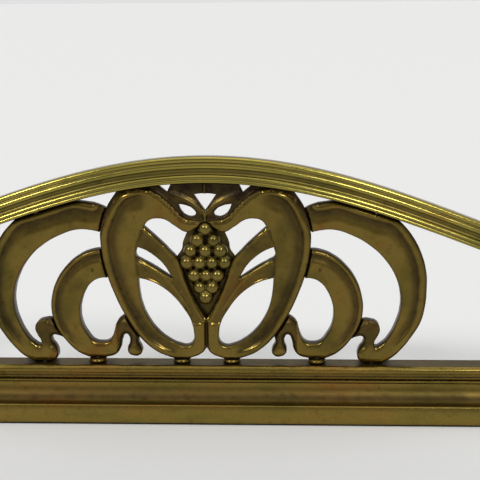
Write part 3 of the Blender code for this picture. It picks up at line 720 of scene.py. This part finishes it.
# The castings stand on the kerb. Distances out are from the kerb's inner face, and patterns are drawn as
# (across, up) from the middle of the kerb's top, with a third value where a knot is a corner.
ornament = {
    "lapBack": 1.5,
    "lapFront": 5.2,
    "loopBack": 5.5,
    "loopFront": 17.5,
    "scrollFront": 15.0,
    "pointStep": 1.35,
    "rings": (0.35, 0.9, 1.7, 2.6),  # rows of points along every edge, so that the edges come out round
}
corner = True


def ornamentSpot(across, out, up):
    return Vector((across, fender["innerY"] - out, fender["kerbTop"] + up)) * mm


# The right half of the pattern serves both halves.
def folded(points):
    return np.stack([np.abs(points[:, 0]), points[:, 1]], axis=1)


def underRail(*places):
    ends = (places[0], places[-1])
    return [(x, railUnder(x) - fender["gap"], x in ends) for x in places]


def mirrored(knots):
    return [(-k[0],) + tuple(k[1:]) for k in reversed(knots)]


def bothHalves(knots):
    return list(knots) + mirrored(knots[1:-1])


loopOutside = [
    (0, 15, corner), (6, 9.5), (13, 6.5), (18, 5, corner), (32, 5, corner), (40, 7.5), (50, 12),
    (66, 26), (80, 47.5), (91, 71), (99, 95), (103, 118), (102.5, 138), (97, 157),
] + underRail(86, 72, 59, 46)
bowTop = [(37, 173, corner)] + underRail(33, 16, 0)
lowerHole = [
    (66.5, 88, corner), (66, 77), (63, 60), (57, 46), (48, 33.5), (38, 25), (27, 19.5), (18, 18.5),
    (13, 23.5), (12.5, 32), (15, 43), (21, 54), (30.5, 67.5), (42, 78), (55, 85),
]
slitHole = [
    (67, 119, corner), (68, 110), (62.5, 106), (52.5, 100.5), (42.5, 94), (33, 87.5, corner),
    (36.5, 94), (41, 101), (49, 109), (58.5, 115.5),
]
bunchOpening = [
    (0, 144), (9, 138), (17.5, 134), (29.5, 140), (38.5, 146), (47.5, 147.5), (55, 145.5),
    (60, 139.5, corner), (50, 130.5), (41, 122), (34.5, 115), (28.5, 108.5), (23, 96), (17.5, 80),
    (9.5, 62), (0, 46, corner),
]
almondHole = [
    (26, 161.5, corner), (18, 160), (11.5, 156.5), (9, 151.5), (12.5, 149), (19, 150.5), (23, 154.5),
]
bowHole = [(0, 155, corner), (6, 163.5), (11, 171, corner), (0, 172)]
innerScroll = [
    (88, 111), (103, 116), (113, 115), (125, 110), (138, 99.5), (148.5, 84.5), (154, 68), (155, 54),
    (152, 40), (143, 24), (130, 10.5), (119, 5, corner), (101, 5, corner), (91.5, 8), (86.5, 14.5),
    (85, 22), (81, 28.3), (78.3, 26), (77.7, 20), (79.7, 15), (79, 9.5), (74.5, 6.7), (68.5, 6.7),
    (65, 10.5), (65.8, 15.5), (68.3, 20.5), (67, 28), (67, 38), (71.5, 46), (78, 49), (85, 46.5),
    (90, 41), (92, 34), (94.5, 27), (98.5, 22), (105, 20.3), (113, 22), (119, 29), (124.5, 40),
    (126, 53), (124.5, 62.5), (120.5, 73), (113, 83), (104, 87.3), (96, 87), (88, 84),
]
outerScroll = [(92, 151), (98, 157), (110, 162, corner)] + underRail(129, 150, 170, 187) + [
    (202, 129.5), (211, 112.5), (216.3, 93), (217, 77), (216, 60), (212, 43), (203, 27), (194, 15),
    (184, 5.5), (174, 0.3, corner), (158, 0.3, corner), (151.5, 3.5), (150, 10), (152, 16),
    (155.5, 21), (155.5, 26.5), (148, 26.5), (142, 24), (141, 30), (146, 40), (154, 44.3),
    (163, 44.3), (169.5, 41.5), (172, 35.5), (170, 28.5), (167, 22.5), (167.5, 17.5), (174, 20),
    (181, 28), (187.8, 42), (191.5, 56), (191.5, 71), (186.5, 88.5), (175.5, 106.5), (158.5, 122),
    (142, 131), (126, 136), (112.5, 135.5), (101, 132.5), (92, 128),
]
bunchPlate = [
    (0, 149), (8, 147), (14, 141), (18.5, 132.5), (20.5, 128), (23, 121.5), (24, 115), (28, 109),
    (32, 103), (33, 96), (28, 84), (17, 64), (8, 50), (0, 41),
]


# A flat pattern turned into a casting: the outline keeps its shape, and front and back give each point's
# distance out. Points lie in rings along every edge and on an even grid between them.
def reliefPiece(name, outer, holes, front, back, material):
    lines = [outer] + holes
    edges = []
    start = 0
    for line in lines:
        count = len(line)
        edges += [(start + i, start + (i + 1) % count) for i in range(count)]
        start += count

    def onMetal(points):
        good = isInside(points, outer)
        for hole in holes:
            good &= ~isInside(points, hole)
        return good

    def fromEdge(points):
        return np.min([distanceTo(points, line) for line in lines], axis=0)

    def kept(points, distance):
        points = points[onMetal(points)]
        return points[fromEdge(points) > distance]

    extra = []
    for ring in ornament["rings"]:
        for line in lines:
            run = np.roll(line, -1, axis=0) - np.roll(line, 1, axis=0)
            run /= np.maximum(np.hypot(run[:, 0], run[:, 1]), 1e-6)[:, None]
            normal = np.stack([-run[:, 1], run[:, 0]], axis=1)
            for way in (-1, 1):
                extra.append(kept(line + normal * ring * way, ring * 0.93))
    low, high = outer.min(axis=0), outer.max(axis=0)
    step = ornament["pointStep"]
    columns = np.arange(low[0], high[0], step)
    rows = np.arange(low[1], high[1], step * 0.866)
    grid = np.array([(x + (j % 2) * step / 2, z) for j, z in enumerate(rows) for x in columns])
    extra.append(kept(grid, ornament["rings"][-1] + step * 0.5))
    made = delaunay_2d_cdt([Vector(p) for p in np.concatenate(lines + extra)], edges, [], 1, 1e-5)
    spots = np.array([tuple(v) for v in made[0]])
    triangles = np.array([f for f in made[2] if len(f) == 3])
    triangles = triangles[onMetal(spots[triangles].mean(axis=1))]
    used, inverse = np.unique(triangles, return_inverse=True)
    spots, triangles = spots[used], inverse.reshape(-1, 3)
    near = fromEdge(spots)
    fronts, tarnishAndShade = front(spots, near)
    sides = {(t[i], t[(i + 1) % 3]) for t in triangles for i in range(3)}
    count = len(spots)
    faces = [tuple(t) for t in triangles] + [tuple(t[::-1] + count) for t in triangles]
    faces += [(b, a, a + count, b + count) for a, b in sorted(sides) if (b, a) not in sides]
    places = []
    for outs in (fronts, back(spots, near)):
        places += [ornamentSpot(x, out, z) for (x, z), out in zip(spots, outs)]
    piece = newPiece(name, places, faces, material)
    # backs, and the sides between front and back, are laid darker: sand skin and painted shade
    layTarnishAndShade(piece.data, np.concatenate([np.clip(tarnishAndShade, 0, 1), np.full(count, 0.75)]))
    return piece


# Height lost towards an edge: a quarter-round of the given radius.
def rounded(near, radius):
    share = np.clip(near / radius, 0, 1)
    return radius * (1 - np.sqrt(np.clip(1 - (1 - share) ** 2, 0, 1)))


def roughSkin(points, size, depth, seed):
    return np.array([noise.noise(Vector((x / size, z / size, seed))) * depth for x, z in points])


# The rolled rim that runs round the outside of a limb: a bead, then a crease, then the face.
def rimmed(away, width, bead, crease, dish):
    crest = width * 0.62
    outer = bead * (np.sqrt(np.clip(1 - np.clip(1 - away / crest, 0, 1) ** 2, 0, 1)) - 1)
    inner = -crease * ramp(away, crest, width - crest)
    face = (crease - 0.3) * ramp(away, width, dish)
    return np.where(away < crest, outer, inner + np.where(away > width, face, 0))


# A dark line in the crease, tarnish and painted shade, and a soft painted shadow on the face just inside it.
def creaseDarkAndShadow(away, width, spread):
    line = 0.95 * bell(away - width, width * 0.16 + 0.3)
    return np.maximum(line, 0.72 * bell(away - width - spread * 0.5, spread) * (away > width))


# A thin darker line is laid along every edge.
def edgeDarkening(near):
    return 0.6 * bell(near, 0.9)


# Pairs here are where a change starts and how far it runs, both in millimetres.
loopLook = {
    "rimWidth": 8.4,
    "crownRim": 5.0,
    "rimBead": 4.2,
    "crease": 3.0,
    "dish": 17,
    "edge": 2.0,
    "crownUp": 120,  # above this the rim belongs to the crown
    "crownNarrows": (88, -30),
    "crownFade": (50, 18),
    "footFade": (4, 22),
    "footFadeAcross": (26, 10),
    "stemDrop": 1.8,
    "grooveDepth": 1.2,
    "bowDrop": 4.2,
    "bowStep": 2.6,
    "bowShade": (162, 9),
    "bowShadeAcross": 60,
    "shoulderDrop": 1.1,
    "shoulder": (74, -14),
    "seamTop": 44,
    "seamDepth": 4.0,
    "skin": (14, 0.25),
}
# The loop's own upper edge, which turns under the rail and runs down to the grapes.
loopCrown = [
    (102.5, 134), (98.5, 146), (94, 155.5), (88.5, 164.5), (81.5, 171), (74, 174), (64, 175.3), (53, 174.2),
    (45, 170.2), (38.5, 164.3), (33, 159.2), (29, 154.5), (24, 149), (19, 145.8), (12, 144.5),
]
bowField = loopCrown + [(0, 143), (0, 200), (120, 200), (120, 134)]
# Where the loop's face ends and its stems begin.
loopInside = [(64.5, 84), (67.5, 97), (68, 108), (67.3, 120), (63.5, 131), (60, 139)]
stemField = [
    (0, 46), (12, 40), (30, 66), (55, 85), (66, 88), (68, 108), (67, 121), (61, 139), (50, 131), (34, 116),
    (22, 96), (9, 63),
]
# Raised veins on the stems' upper edges and on the bow: the line, its width, its rise, and how much of the
# tarnish and painted shade is wiped off it.
veins = (
    ([
        (61.5, 137), (50, 127.5), (40, 118), (32, 108), (25.5, 95), (20, 80), (12.5, 62), (4, 45),
    ], 1.5, 1.7, 0.8),
    ([(66, 103), (53, 97.5), (42.5, 90.5), (33, 81), (24, 68), (17, 56)], 1.5, 1.5, 0.8),
    ([(31, 171), (25, 168.5), (17, 165), (9, 159.5), (2, 152.5)], 3.0, 2.6, 0.5),
)


def makeCentre():
    look = loopLook
    outer = smoothLine(bothHalves(loopOutside + bowTop))
    holes = [smoothLine(bothHalves(bunchOpening)), smoothLine(bothHalves(bowHole))]
    for hole in (lowerHole, slitHole, almondHole):
        holes += [smoothLine(hole), smoothLine(mirrored(hole))]
    rim = smoothLine([k[:2] for k in loopOutside[4:12]] + loopCrown, closed=False)
    inside = smoothLine(loopInside, closed=False)
    stems, bow = smoothLine(stemField), smoothLine([p + (corner,) for p in bowField])
    raised = [(smoothLine(line, closed=False), *rest) for line, *rest in veins]

    def front(points, near):
        half = folded(points)
        across, up = half[:, 0], half[:, 1]
        away = distanceTo(half, rim, closed=False)
        crown = up > look["crownUp"]
        narrower = ramp(across, *look["crownNarrows"]) * crown
        width = look["rimWidth"] + (look["crownRim"] - look["rimWidth"]) * narrower
        fade = ramp(up, *look["footFade"]) * ramp(across, *look["footFadeAcross"])
        fade = np.where(crown, ramp(across, *look["crownFade"]), fade)
        plain = -rounded(near, look["edge"]) - np.clip(1 - near / 6, 0, 1) ** 2
        onRim = rimmed(away, width, look["rimBead"], look["crease"], look["dish"])
        onRim -= np.where(away > width, rounded(near, 1.4), 0)
        height = plain * (1 - fade) + onRim * fade
        # the crease gets tarnish, painted shade and a painted shadow, and the rim's outer side is painted
        # dark as shade
        tarnishAndShade = creaseDarkAndShadow(away, width, 6) * fade
        tarnishAndShade = np.maximum(tarnishAndShade, 0.7 * (1 - easeIn(away / (width * 0.35))) * fade)

        # the stems lie below the loop's face, with a groove between; groove and stems are painted darker as
        # shade
        stem = easeIn(distanceTo(half, stems) * isInside(half, stems) / 3)
        groove = bell(distanceTo(half, inside, closed=False), 1.4)
        height -= look["stemDrop"] * stem + look["grooveDepth"] * groove
        tarnishAndShade = np.maximum(tarnishAndShade, np.maximum(0.7 * groove, 0.4 * stem))

        # the bow lies below the crown, which rolls over towards it; it is painted dark as shade under the
        # rail
        toBow, within = distanceTo(half, bow), isInside(half, bow)
        behind = toBow * within
        step = easeIn(behind / look["bowStep"])
        height -= look["shoulderDrop"] * bell(toBow, 2.2) * (1 - within) * ramp(across, *look["shoulder"])
        height = height * (1 - step) - (look["bowDrop"] + rounded(near, 1.2)) * step
        tarnishAndShade = np.maximum(tarnishAndShade, 0.92 * easeIn(behind / 0.8))
        for line, size, rise, wiped in raised:
            ridge = bell(distanceTo(half, line, closed=False), size)
            height += rise * ridge
            tarnishAndShade *= 1 - wiped * ridge
        shade = ramp(up, *look["bowShade"]) * (across < look["bowShadeAcross"]) * (behind > 0)
        tarnishAndShade = np.maximum(tarnishAndShade, shade)

        # a seam parts the two loops at their feet, and is painted dark as shade
        seam = bell(across + np.clip(up - look["seamTop"], 0, None) * 4, 1.7) * (up < look["seamTop"] + 16)
        height += roughSkin(points, *look["skin"], 1.5) - look["seamDepth"] * seam
        tarnishAndShade = np.maximum(np.maximum(tarnishAndShade, seam), edgeDarkening(near))
        return ornament["loopFront"] + np.minimum(height, 0.2), tarnishAndShade

    def back(points, near):
        return ornament["loopBack"] + rounded(near, 0.8) + roughSkin(points, 9, 0.1, 7.5) + 0.1

    piece = reliefPiece("centreLoops", outer, holes, front, back, castBrass)
    finishPiece(piece, "centre_casting")


# The knots of each scroll, and those of them that its rolled rim follows.
scrollPatterns = {"inner": (innerScroll, innerScroll[:11]), "outer": (outerScroll, outerScroll[2:16])}
# Pairs are where a change starts and how far it runs.
scrollLook = {
    "rimWidth": {"inner": 5.4, "outer": 9.0},
    "dish": {"inner": 9, "outer": 13},
    "hookEdge": {"inner": 90, "outer": 160},
    "curlEdge": {"inner": 90, "outer": 172},
    "bead": 3.4,
    "crease": 2.4,
    "edge": 2.2,
    "crown": 1.6,
    "rimFade": (12, 24),
    "rimFadeAcross": (84, 16),
    "hookFade": (8, 10),
    "hookTop": 50,
    "hookDome": 3.2,
    "curlFade": (14, 8),
    "curlTop": 52,
    "railShadowBand": 4.5,
    "lapRun": 0.9,
    "pit": (112, 96),  # a blow hole in each inner scroll
    "pitSize": 1.1,
    "skin": (15, 0.25),
}


# Where a scroll passes behind another casting it steps down to a thin lap, and is painted darker beside it
# as shade between the parts.
def lapped(outs, tarnishAndShade, away, shadeStrength, spread):
    low = ornament["lapFront"] - 0.1
    outs = low + (outs - low) * ramp(away, fender["gap"] + 0.1, scrollLook["lapRun"])
    return outs, np.maximum(tarnishAndShade, shadeStrength * bell(np.clip(away - 1, 0, None), spread))


def makeScroll(kind, side, word):
    look = scrollLook
    knots, rimKnots = scrollPatterns[kind]
    other = smoothLine(outerScroll if kind == "inner" else innerScroll)
    silhouette = smoothLine(bothHalves(loopOutside + underRail(33, 16, 0)))
    rim = smoothLine([k[:2] for k in rimKnots], closed=False)
    rimWidth = look["rimWidth"][kind]

    def front(points, near):
        half = folded(points)
        across, up = half[:, 0], half[:, 1]
        away = distanceTo(half, rim, closed=False)
        fade = ramp(up, *look["rimFade"]) * ramp(across, *look["rimFadeAcross"])
        plain = -rounded(near, look["edge"]) - look["crown"] * np.clip(1 - near / 7, 0, 1) ** 2
        onRim = rimmed(away, rimWidth, look["bead"], look["crease"], look["dish"][kind])
        onRim -= np.where(away > rimWidth, rounded(near, 1.5), 0)
        height = plain * (1 - fade) + onRim * fade + roughSkin(points, *look["skin"], 3.5 + side)
        # the crease and the rim's outer side are painted dark: tarnish and painted shade
        tarnishAndShade = creaseDarkAndShadow(away, rimWidth, 4) * fade
        tarnishAndShade = np.maximum(tarnishAndShade, 0.8 * (1 - easeIn(away / (rimWidth * 0.5))) * fade)
        tarnishAndShade = np.maximum(tarnishAndShade, edgeDarkening(near))

        # the hooked foot is domed and little polished
        hook = ramp(up, *look["hookFade"]) * (across < look["hookEdge"][kind]) * (up < look["hookTop"])
        height -= look["hookDome"] * hook * np.clip(1 - near / 7, 0, 1) ** 1.5
        tarnishAndShade = np.maximum(tarnishAndShade, 0.75 * hook * (1 - ramp(near, 1.5, 3)))
        curl = ramp(up, *look["curlFade"]) * (across < look["curlEdge"][kind]) * (up < look["curlTop"])
        tarnishAndShade = np.maximum(tarnishAndShade, 0.62 * curl)
        if kind == "inner":
            # a blow hole, painted dark inside as shade
            pit = bell(np.hypot(across - look["pit"][0], up - look["pit"][1]), look["pitSize"])
            height -= 1.4 * pit
            tarnishAndShade = np.maximum(tarnishAndShade, pit)
        else:
            # the top of the outer scroll, under the rail, is set back and painted dark as the rail's shadow
            under = np.array([railUnder(x) for x in across]) - up
            band = np.clip(1 - under / look["railShadowBand"], 0, 1)
            height -= 2.6 * band ** 1.5
            tarnishAndShade = np.maximum(tarnishAndShade, 0.9 * easeIn(band * 1.6))
        outs = ornament["scrollFront"] + height
        outs, tarnishAndShade = lapped(outs, tarnishAndShade, outsideOf(points, silhouette), 0.7, 1.6)
        if kind == "outer":
            outs, tarnishAndShade = lapped(outs, tarnishAndShade, outsideOf(half, other), 0.9, 4)
        return outs, tarnishAndShade

    def back(points, near):
        outs = ornament["lapBack"] + rounded(near, 0.8) + 0.1
        if kind == "inner":
            # room for the outer scroll's lap
            share = 1 - ramp(outsideOf(folded(points), other), fender["gap"] + 0.1, 1.4)
            outs = outs + (ornament["loopBack"] + 0.4 - outs) * share
        return outs

    pattern = smoothLine(knots if side == 1 else mirrored(knots))
    piece = reliefPiece(f"{kind}Scroll{word.title()}", pattern, [], front, back, castBrass)
    finishPiece(piece, f"{kind}_scroll_{word}")


# Grapes: each row is how many, how far apart and how high. They stand on a scalloped plate.
bunch = {
    "rows": (
        (1, 0, 137), (2, 16, 125.5), (3, 14.6, 115), (4, 12.3, 103), (3, 11.6, 90), (2, 12, 78), (1, 0, 68),
    ),
    "radius": 7.2,
    "line": 12.0,
    "core": [(0, 143), (9, 137), (15, 128), (20, 117), (25, 105), (21, 97), (17, 86), (11, 75), (0, 60)],
    "coreFront": 8.8,
    "groundShadeAndDirt": 0.85,
    "grain": 0.5,  # size of the remeshing cell that runs the berries into their ground
}


def makeGrapes():
    look = bunch
    plate = smoothLine(bothHalves(bunchPlate))
    core = smoothLine(bothHalves(look["core"]))

    def front(points, near):
        raised = isInside(points, core) * easeIn(distanceTo(points, core) / 4)
        outs = ornament["lapFront"] - rounded(near, 1.2)
        # the plate behind the berries is laid dark as painted shade
        return outs + (look["coreFront"] - outs) * raised, np.full(len(points), 0.9)

    def back(points, near):
        return ornament["lapBack"] + rounded(near, 0.6) + 0.1

    piece = reliefPiece("grapeBunch", plate, [], front, back, berryBrass)
    form = bmesh.new()
    form.from_mesh(piece.data)
    berries = []
    for row, (count, pitch, up) in enumerate(look["rows"]):
        for i in range(count):
            shift = noise.noise(Vector((row * 3.1, i * 5.7, 0.4)))
            across = (i - (count - 1) / 2) * pitch + shift * 0.6
            size = look["radius"] * (1 + 0.05 * math.sin(row * 2.3 + i * 1.7)) * mm
            place = ornamentSpot(across, look["line"], up + shift * 0.5)
            bmesh.ops.create_icosphere(form, subdivisions=4, radius=size, matrix=Matrix.Translation(place))
            berries.append((*place, size))
    form.to_mesh(piece.data)
    form.free()
    remesh = piece.modifiers.new("cast together", "REMESH")
    remesh.mode = "VOXEL"
    remesh.voxel_size = look["grain"] * mm
    soften = piece.modifiers.new("soften", "SMOOTH")
    soften.factor = 0.5
    soften.iterations = 3
    mesh = settledMesh(piece)
    piece.data = mesh
    mesh.shade_smooth()
    # the ground between the berries is painted dark: tarnish that is never wiped, and painted shade between
    # them
    places, berries = np.array([v.co for v in mesh.vertices]), np.array(berries)
    away = np.min(np.linalg.norm(places[:, None] - berries[:, :3], axis=2) - berries[:, 3], axis=1) / mm
    layTarnishAndShade(mesh, look["groundShadeAndDirt"] * ramp(away, -0.5, 0.9))
    finishPiece(piece, "grape_cluster")


makeCentre()
print("centre casting made")
for side, word in hands:
    for kind in ("inner", "outer"):
        makeScroll(kind, side, word)
print("scrolls made")
makeGrapes()
print("grapes made")


def turnedPiece(name, profile, x, y, material, steps=72):
    profile = np.array(profile)
    verts, faces = [], []
    for turn in np.arange(steps) * 2 * math.pi / steps:
        for radius, height in profile:
            verts.append(Vector((x + radius * math.cos(turn), y + radius * math.sin(turn), height)) * mm)
    count = len(profile)
    for i in range(steps):
        for j in range(count):
            k = (j + 1) % count
            a, b = i * count, (i + 1) % steps * count
            faces.append((a + j, a + k, b + k, b + j))
    piece = newPiece(name, verts, faces, material)
    form = bmesh.new()
    form.from_mesh(piece.data)
    bmesh.ops.remove_doubles(form, verts=form.verts, dist=0.001 * mm)
    bmesh.ops.dissolve_degenerate(form, edges=form.edges, dist=0.0001 * mm)
    bmesh.ops.recalc_face_normals(form, faces=form.faces)
    form.to_mesh(piece.data)
    form.free()
    piece.data.set_sharp_from_angle(angle=math.radians(50))
    return piece


collar = {"height": 5.0, "radius": 9.0, "round": 2.4, "bore": 2.8, "loopFoot": 25, "innerFoot": 110}


def makeCollars():
    look = collar
    low, high = fender["kerbTop"] + fender["gap"], fender["kerbTop"] + look["height"] - fender["gap"]
    middle, half = (low + high) / 2, (high - low) / 2
    edge, flat = look["radius"] - look["round"], look["radius"] - look["round"] - 0.2
    profile = [(look["bore"], high), (flat, high)]
    profile += arcPoints((edge, middle), (look["round"], half * 0.96), 86, -86, 18)
    profile += [(flat, low), (look["bore"], low)]
    y = fender["innerY"] - fender["studLine"]
    for side, word in hands:
        for kind, foot in (("loop", look["loopFoot"]), ("inner_scroll", look["innerFoot"])):
            title = kind.title().replace("_", "")
            piece = turnedPiece(f"collar{title}{word.title()}", profile, side * foot, y, turnedBrass)
            finishPiece(piece, f"{kind}_{word}_collar")


pillar = {
    "waist": 3.6,
    "ring": 0.9,
    "bulb": 7.0,
    "foot": 9.0,
    "footRound": 2.2,
    "head": 7.0,
    "headRound": 2,
    "spigot": 2.5,
    "reach": 11,
    "tip": 7.4,
    "inset": 26,
}


# From the top spigot down: head, ring, neck, bulb between two beads, ring, foot and bottom spigot.
def pillarProfile():
    look = pillar
    waist, ring, spigot = look["waist"], (look["ring"], look["ring"]), look["spigot"]
    bead = (look["ring"] + 0.2, look["ring"])
    foot = fender["kerbTop"] + fender["gap"]
    head = fender["kerbTop"] + railUnder(railShape["sweep"]) - fender["gap"]
    middle, bulb = (foot + head) / 2, (head - foot) / 5
    high, low = look["headRound"], look["footRound"]
    profile = [(0, head + look["reach"]), (spigot, head + look["reach"]), (spigot, head)]
    profile += arcPoints((look["head"] - high, head - high), (high, high), 90, -90, 10)
    profile += [(waist + 0.9, head - 4.6)]
    profile += arcPoints((waist + 1.1, head - 5.8), ring, 80, -80, 6)
    profile += [(waist, head - 7.4), (waist - 0.3, middle + bulb + 2)]
    profile += arcPoints((waist, middle + bulb), bead, 80, -60, 6)
    profile += arcPoints((waist, middle), (look["bulb"] - waist, bulb * 0.92), 80, -80, 24)
    profile += arcPoints((waist, middle - bulb), bead, 60, -80, 6)
    profile += [(waist - 0.3, middle - bulb - 2), (waist, foot + 8)]
    profile += arcPoints((waist + 1.1, foot + 6.4), ring, 80, -80, 6)
    profile += [(waist + 1.4, foot + 4.8)]
    profile += arcPoints((look["foot"] - low, foot + low), (low, low), 90, -90, 12)
    tip = fender["kerbTop"] - look["tip"]
    return profile + [(spigot, foot), (spigot, tip), (0, tip)]


def makePillars():
    profile = pillarProfile()
    front = fender["innerY"] - fender["studLine"]
    rear = fender["rearY"] - pillar["inset"]
    for side, word in hands:
        x = side * (fender["innerX"] + fender["studLine"])
        for kind, y in (("corner", front), ("return", rear)):
            piece = turnedPiece(f"{kind}Pillar{word.title()}", profile, x, y, turnedBrass)
            finishPiece(piece, f"{kind}_pillar_{word}")


# Slotted round-head screws, driven from behind at these places.
screw = {
    "head": 3.4,
    "rise": 1.8,
    "shank": 1.6,
    "slotWidth": 0.8,
    "slotDepth": 0.9,
    "hold": 5.0,
    "places": (("lap", 91, 100), ("grape", 28.5, 96)),
}


def slotCutter(floor):
    look = screw
    cutter = newObject("slot", bpy.data.meshes.new("slot"))
    form = bmesh.new()
    bmesh.ops.create_cube(form, size=1)
    bmesh.ops.scale(form, vec=(20 * mm, look["slotWidth"] * mm, 2 * mm), verts=form.verts)
    bmesh.ops.translate(form, vec=(0, 0, (floor + 1) * mm), verts=form.verts)
    form.to_mesh(cutter.data)
    form.free()
    return cutter


def makeScrews():
    look = screw
    seat = -ornament["lapBack"] + fender["gap"]
    tip = -(ornament["loopBack"] + look["hold"])
    profile = arcPoints((0, seat + 0.3), (look["head"], look["rise"] - 0.3), 90, 0, 10)
    profile += [(look["head"], seat), (look["shank"], seat), (look["shank"], tip), (0, tip)]
    for side, word in hands:
        for kind, across, up in look["places"]:
            piece = turnedPiece(f"{kind}Screw{word.title()}", profile, 0, 0, mildSteel, 40)
            slotting = piece.modifiers.new("slot", "BOOLEAN")
            slotting.object = slotCutter(seat + look["rise"] - look["slotDepth"])
            slotting.solver = "EXACT"
            cutter = slotting.object
            mesh = settledMesh(piece)
            bpy.data.objects.remove(cutter)
            turn = Matrix.Rotation(math.radians(35 + 40 * side), 4, "Z")
            place = Matrix.Translation(ornamentSpot(side * across, 0, up))
            mesh.transform(place @ Matrix.Rotation(math.radians(-90), 4, "X") @ turn)
            piece.data = mesh
            finishPiece(piece, f"{kind}_screw_{word}")


makeCollars()
makePillars()
makeScrews()
print("turned pieces made")

# The iron, the studs and the nuts keep their shapes and take their finish here.
for name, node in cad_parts.items():
    if node.hide_render:
        continue  # a piece above stands in for it
    finish = millIron if name.startswith(("base_bar", "corner_bracket", "rail_core")) else mildSteel
    node.data.materials.clear()
    node.data.materials.append(finish)


stage = {
    "floor": "#e9e9e8",
    "frontFloorShade": "#d2d2d2",
    "floorSize": 900,  # metres
    "floorTurns": (-0.15, -0.4),  # from the back tone to the front one, in metres
    # brightness of the room by height, from the horizon to overhead, and low down on the viewer's side
    "room": ((0.0, 0.82), (0.05, 0.78), (0.2, 0.42), (0.5, 0.32), (0.78, 0.8), (1.0, 1.5)),
    "viewerSide": 0.72,
    "viewerBand": (-0.75, 0.3),
    "lowBand": (0.0, 0.1),
    "strength": 0.92,
    "suns": (
        # where it shines from, strength, angle across
        ((-0.5, -0.62, 0.61), 0.8, 12),
        ((0.31, -0.74, 0.6), 0.85, 12),
        ((0.1, 0.3, 1.6), 0.25, 45),
    ),
    "lens": 82.5,
    "eye": (0.0763, -1.1894, 0.4118),
    "turn": 2.31,
    "tilt": 12.3,
    "roll": -0.4,
}


def makeFloor():
    mesh = bpy.data.meshes.new("floor")
    form = bmesh.new()
    bmesh.ops.create_grid(form, x_segments=1, y_segments=1, size=stage["floorSize"] / 2)
    form.to_mesh(mesh)
    form.free()
    floor = newObject("floor", mesh)
    material, tree, shader = newMaterial("matPaper")
    spot = addNode(tree, "ShaderNodeTexCoord").outputs["Object"]
    where = addNode(tree, "ShaderNodeSeparateXYZ", {0: spot})
    start, end = stage["floorTurns"]
    toFront = addNode(tree, "ShaderNodeMapRange", {0: where.outputs[1], 1: start, 2: end})
    # the paper is painted darker towards the front, as shade
    paper = addNode(tree, "ShaderNodeMix", {
        0: toFront.outputs[0], 6: toLinear(stage["floor"]), 7: toLinear(stage["frontFloorShade"]),
    }, data_type="RGBA")
    setInputs(tree, shader, {"Base Color": paper.outputs[2], "Roughness": 0.9, "Specular IOR Level": 0.1})
    mesh.materials.append(material)


# A pale room that is darker on the viewer's side, and soft lamps to the left, to the right and overhead.
def makeLights():
    for i, (place, strength, angle) in enumerate(stage["suns"]):
        data = bpy.data.lights.new(f"softLamp{i}", "SUN")
        data.energy = strength
        data.angle = math.radians(angle)
        lamp = newObject(f"softLamp{i}", data)
        lamp.rotation_euler = (-Vector(place)).to_track_quat("-Z", "Y").to_euler()
    world = bpy.data.worlds.new("paleRoom")
    bpy.context.scene.world = world
    world.use_nodes = True
    tree = world.node_tree
    ray = addNode(tree, "ShaderNodeTexCoord").outputs["Generated"]
    way = addNode(tree, "ShaderNodeSeparateXYZ", {0: ray})
    height = addNode(tree, "ShaderNodeValToRGB", {"Fac": way.outputs[2]}, stops=stage["room"])
    start, end = stage["viewerBand"]
    near = addNode(tree, "ShaderNodeMapRange", {
        0: way.outputs[1], 1: start, 2: end, 3: stage["viewerSide"], 4: 1.0,
    })
    start, end = stage["lowBand"]
    low = addNode(tree, "ShaderNodeMapRange", {0: way.outputs[2], 1: start, 2: end, 3: 1.0, 4: 0.0})
    share = addNode(tree, "ShaderNodeMath", {0: near.outputs[0], 1: low.outputs[0]}, operation="MAXIMUM")
    light = addNode(tree, "ShaderNodeMix", {
        0: 1.0, 6: height.outputs[0], 7: share.outputs[0],
    }, data_type="RGBA", blend_type="MULTIPLY")
    setInputs(tree, tree.nodes["Background"], {0: light.outputs[2], 1: stage["strength"]})


def makeCamera():
    data = bpy.data.cameras.new("camera")
    data.lens = stage["lens"]
    data.sensor_width = 36
    data.clip_end = 200
    camera = newObject("camera", data)
    turn = Matrix.Rotation(math.radians(stage["turn"]), 4, "Z")
    tilt = Matrix.Rotation(math.radians(90 - stage["tilt"]), 4, "X")
    roll = Matrix.Rotation(math.radians(stage["roll"]), 4, "Z")
    camera.matrix_world = Matrix.Translation(stage["eye"]) @ turn @ tilt @ roll
    bpy.context.scene.camera = camera


makeFloor()
makeLights()
makeCamera()
bpy.context.scene.view_settings.view_transform = "Standard"
print("stage made")
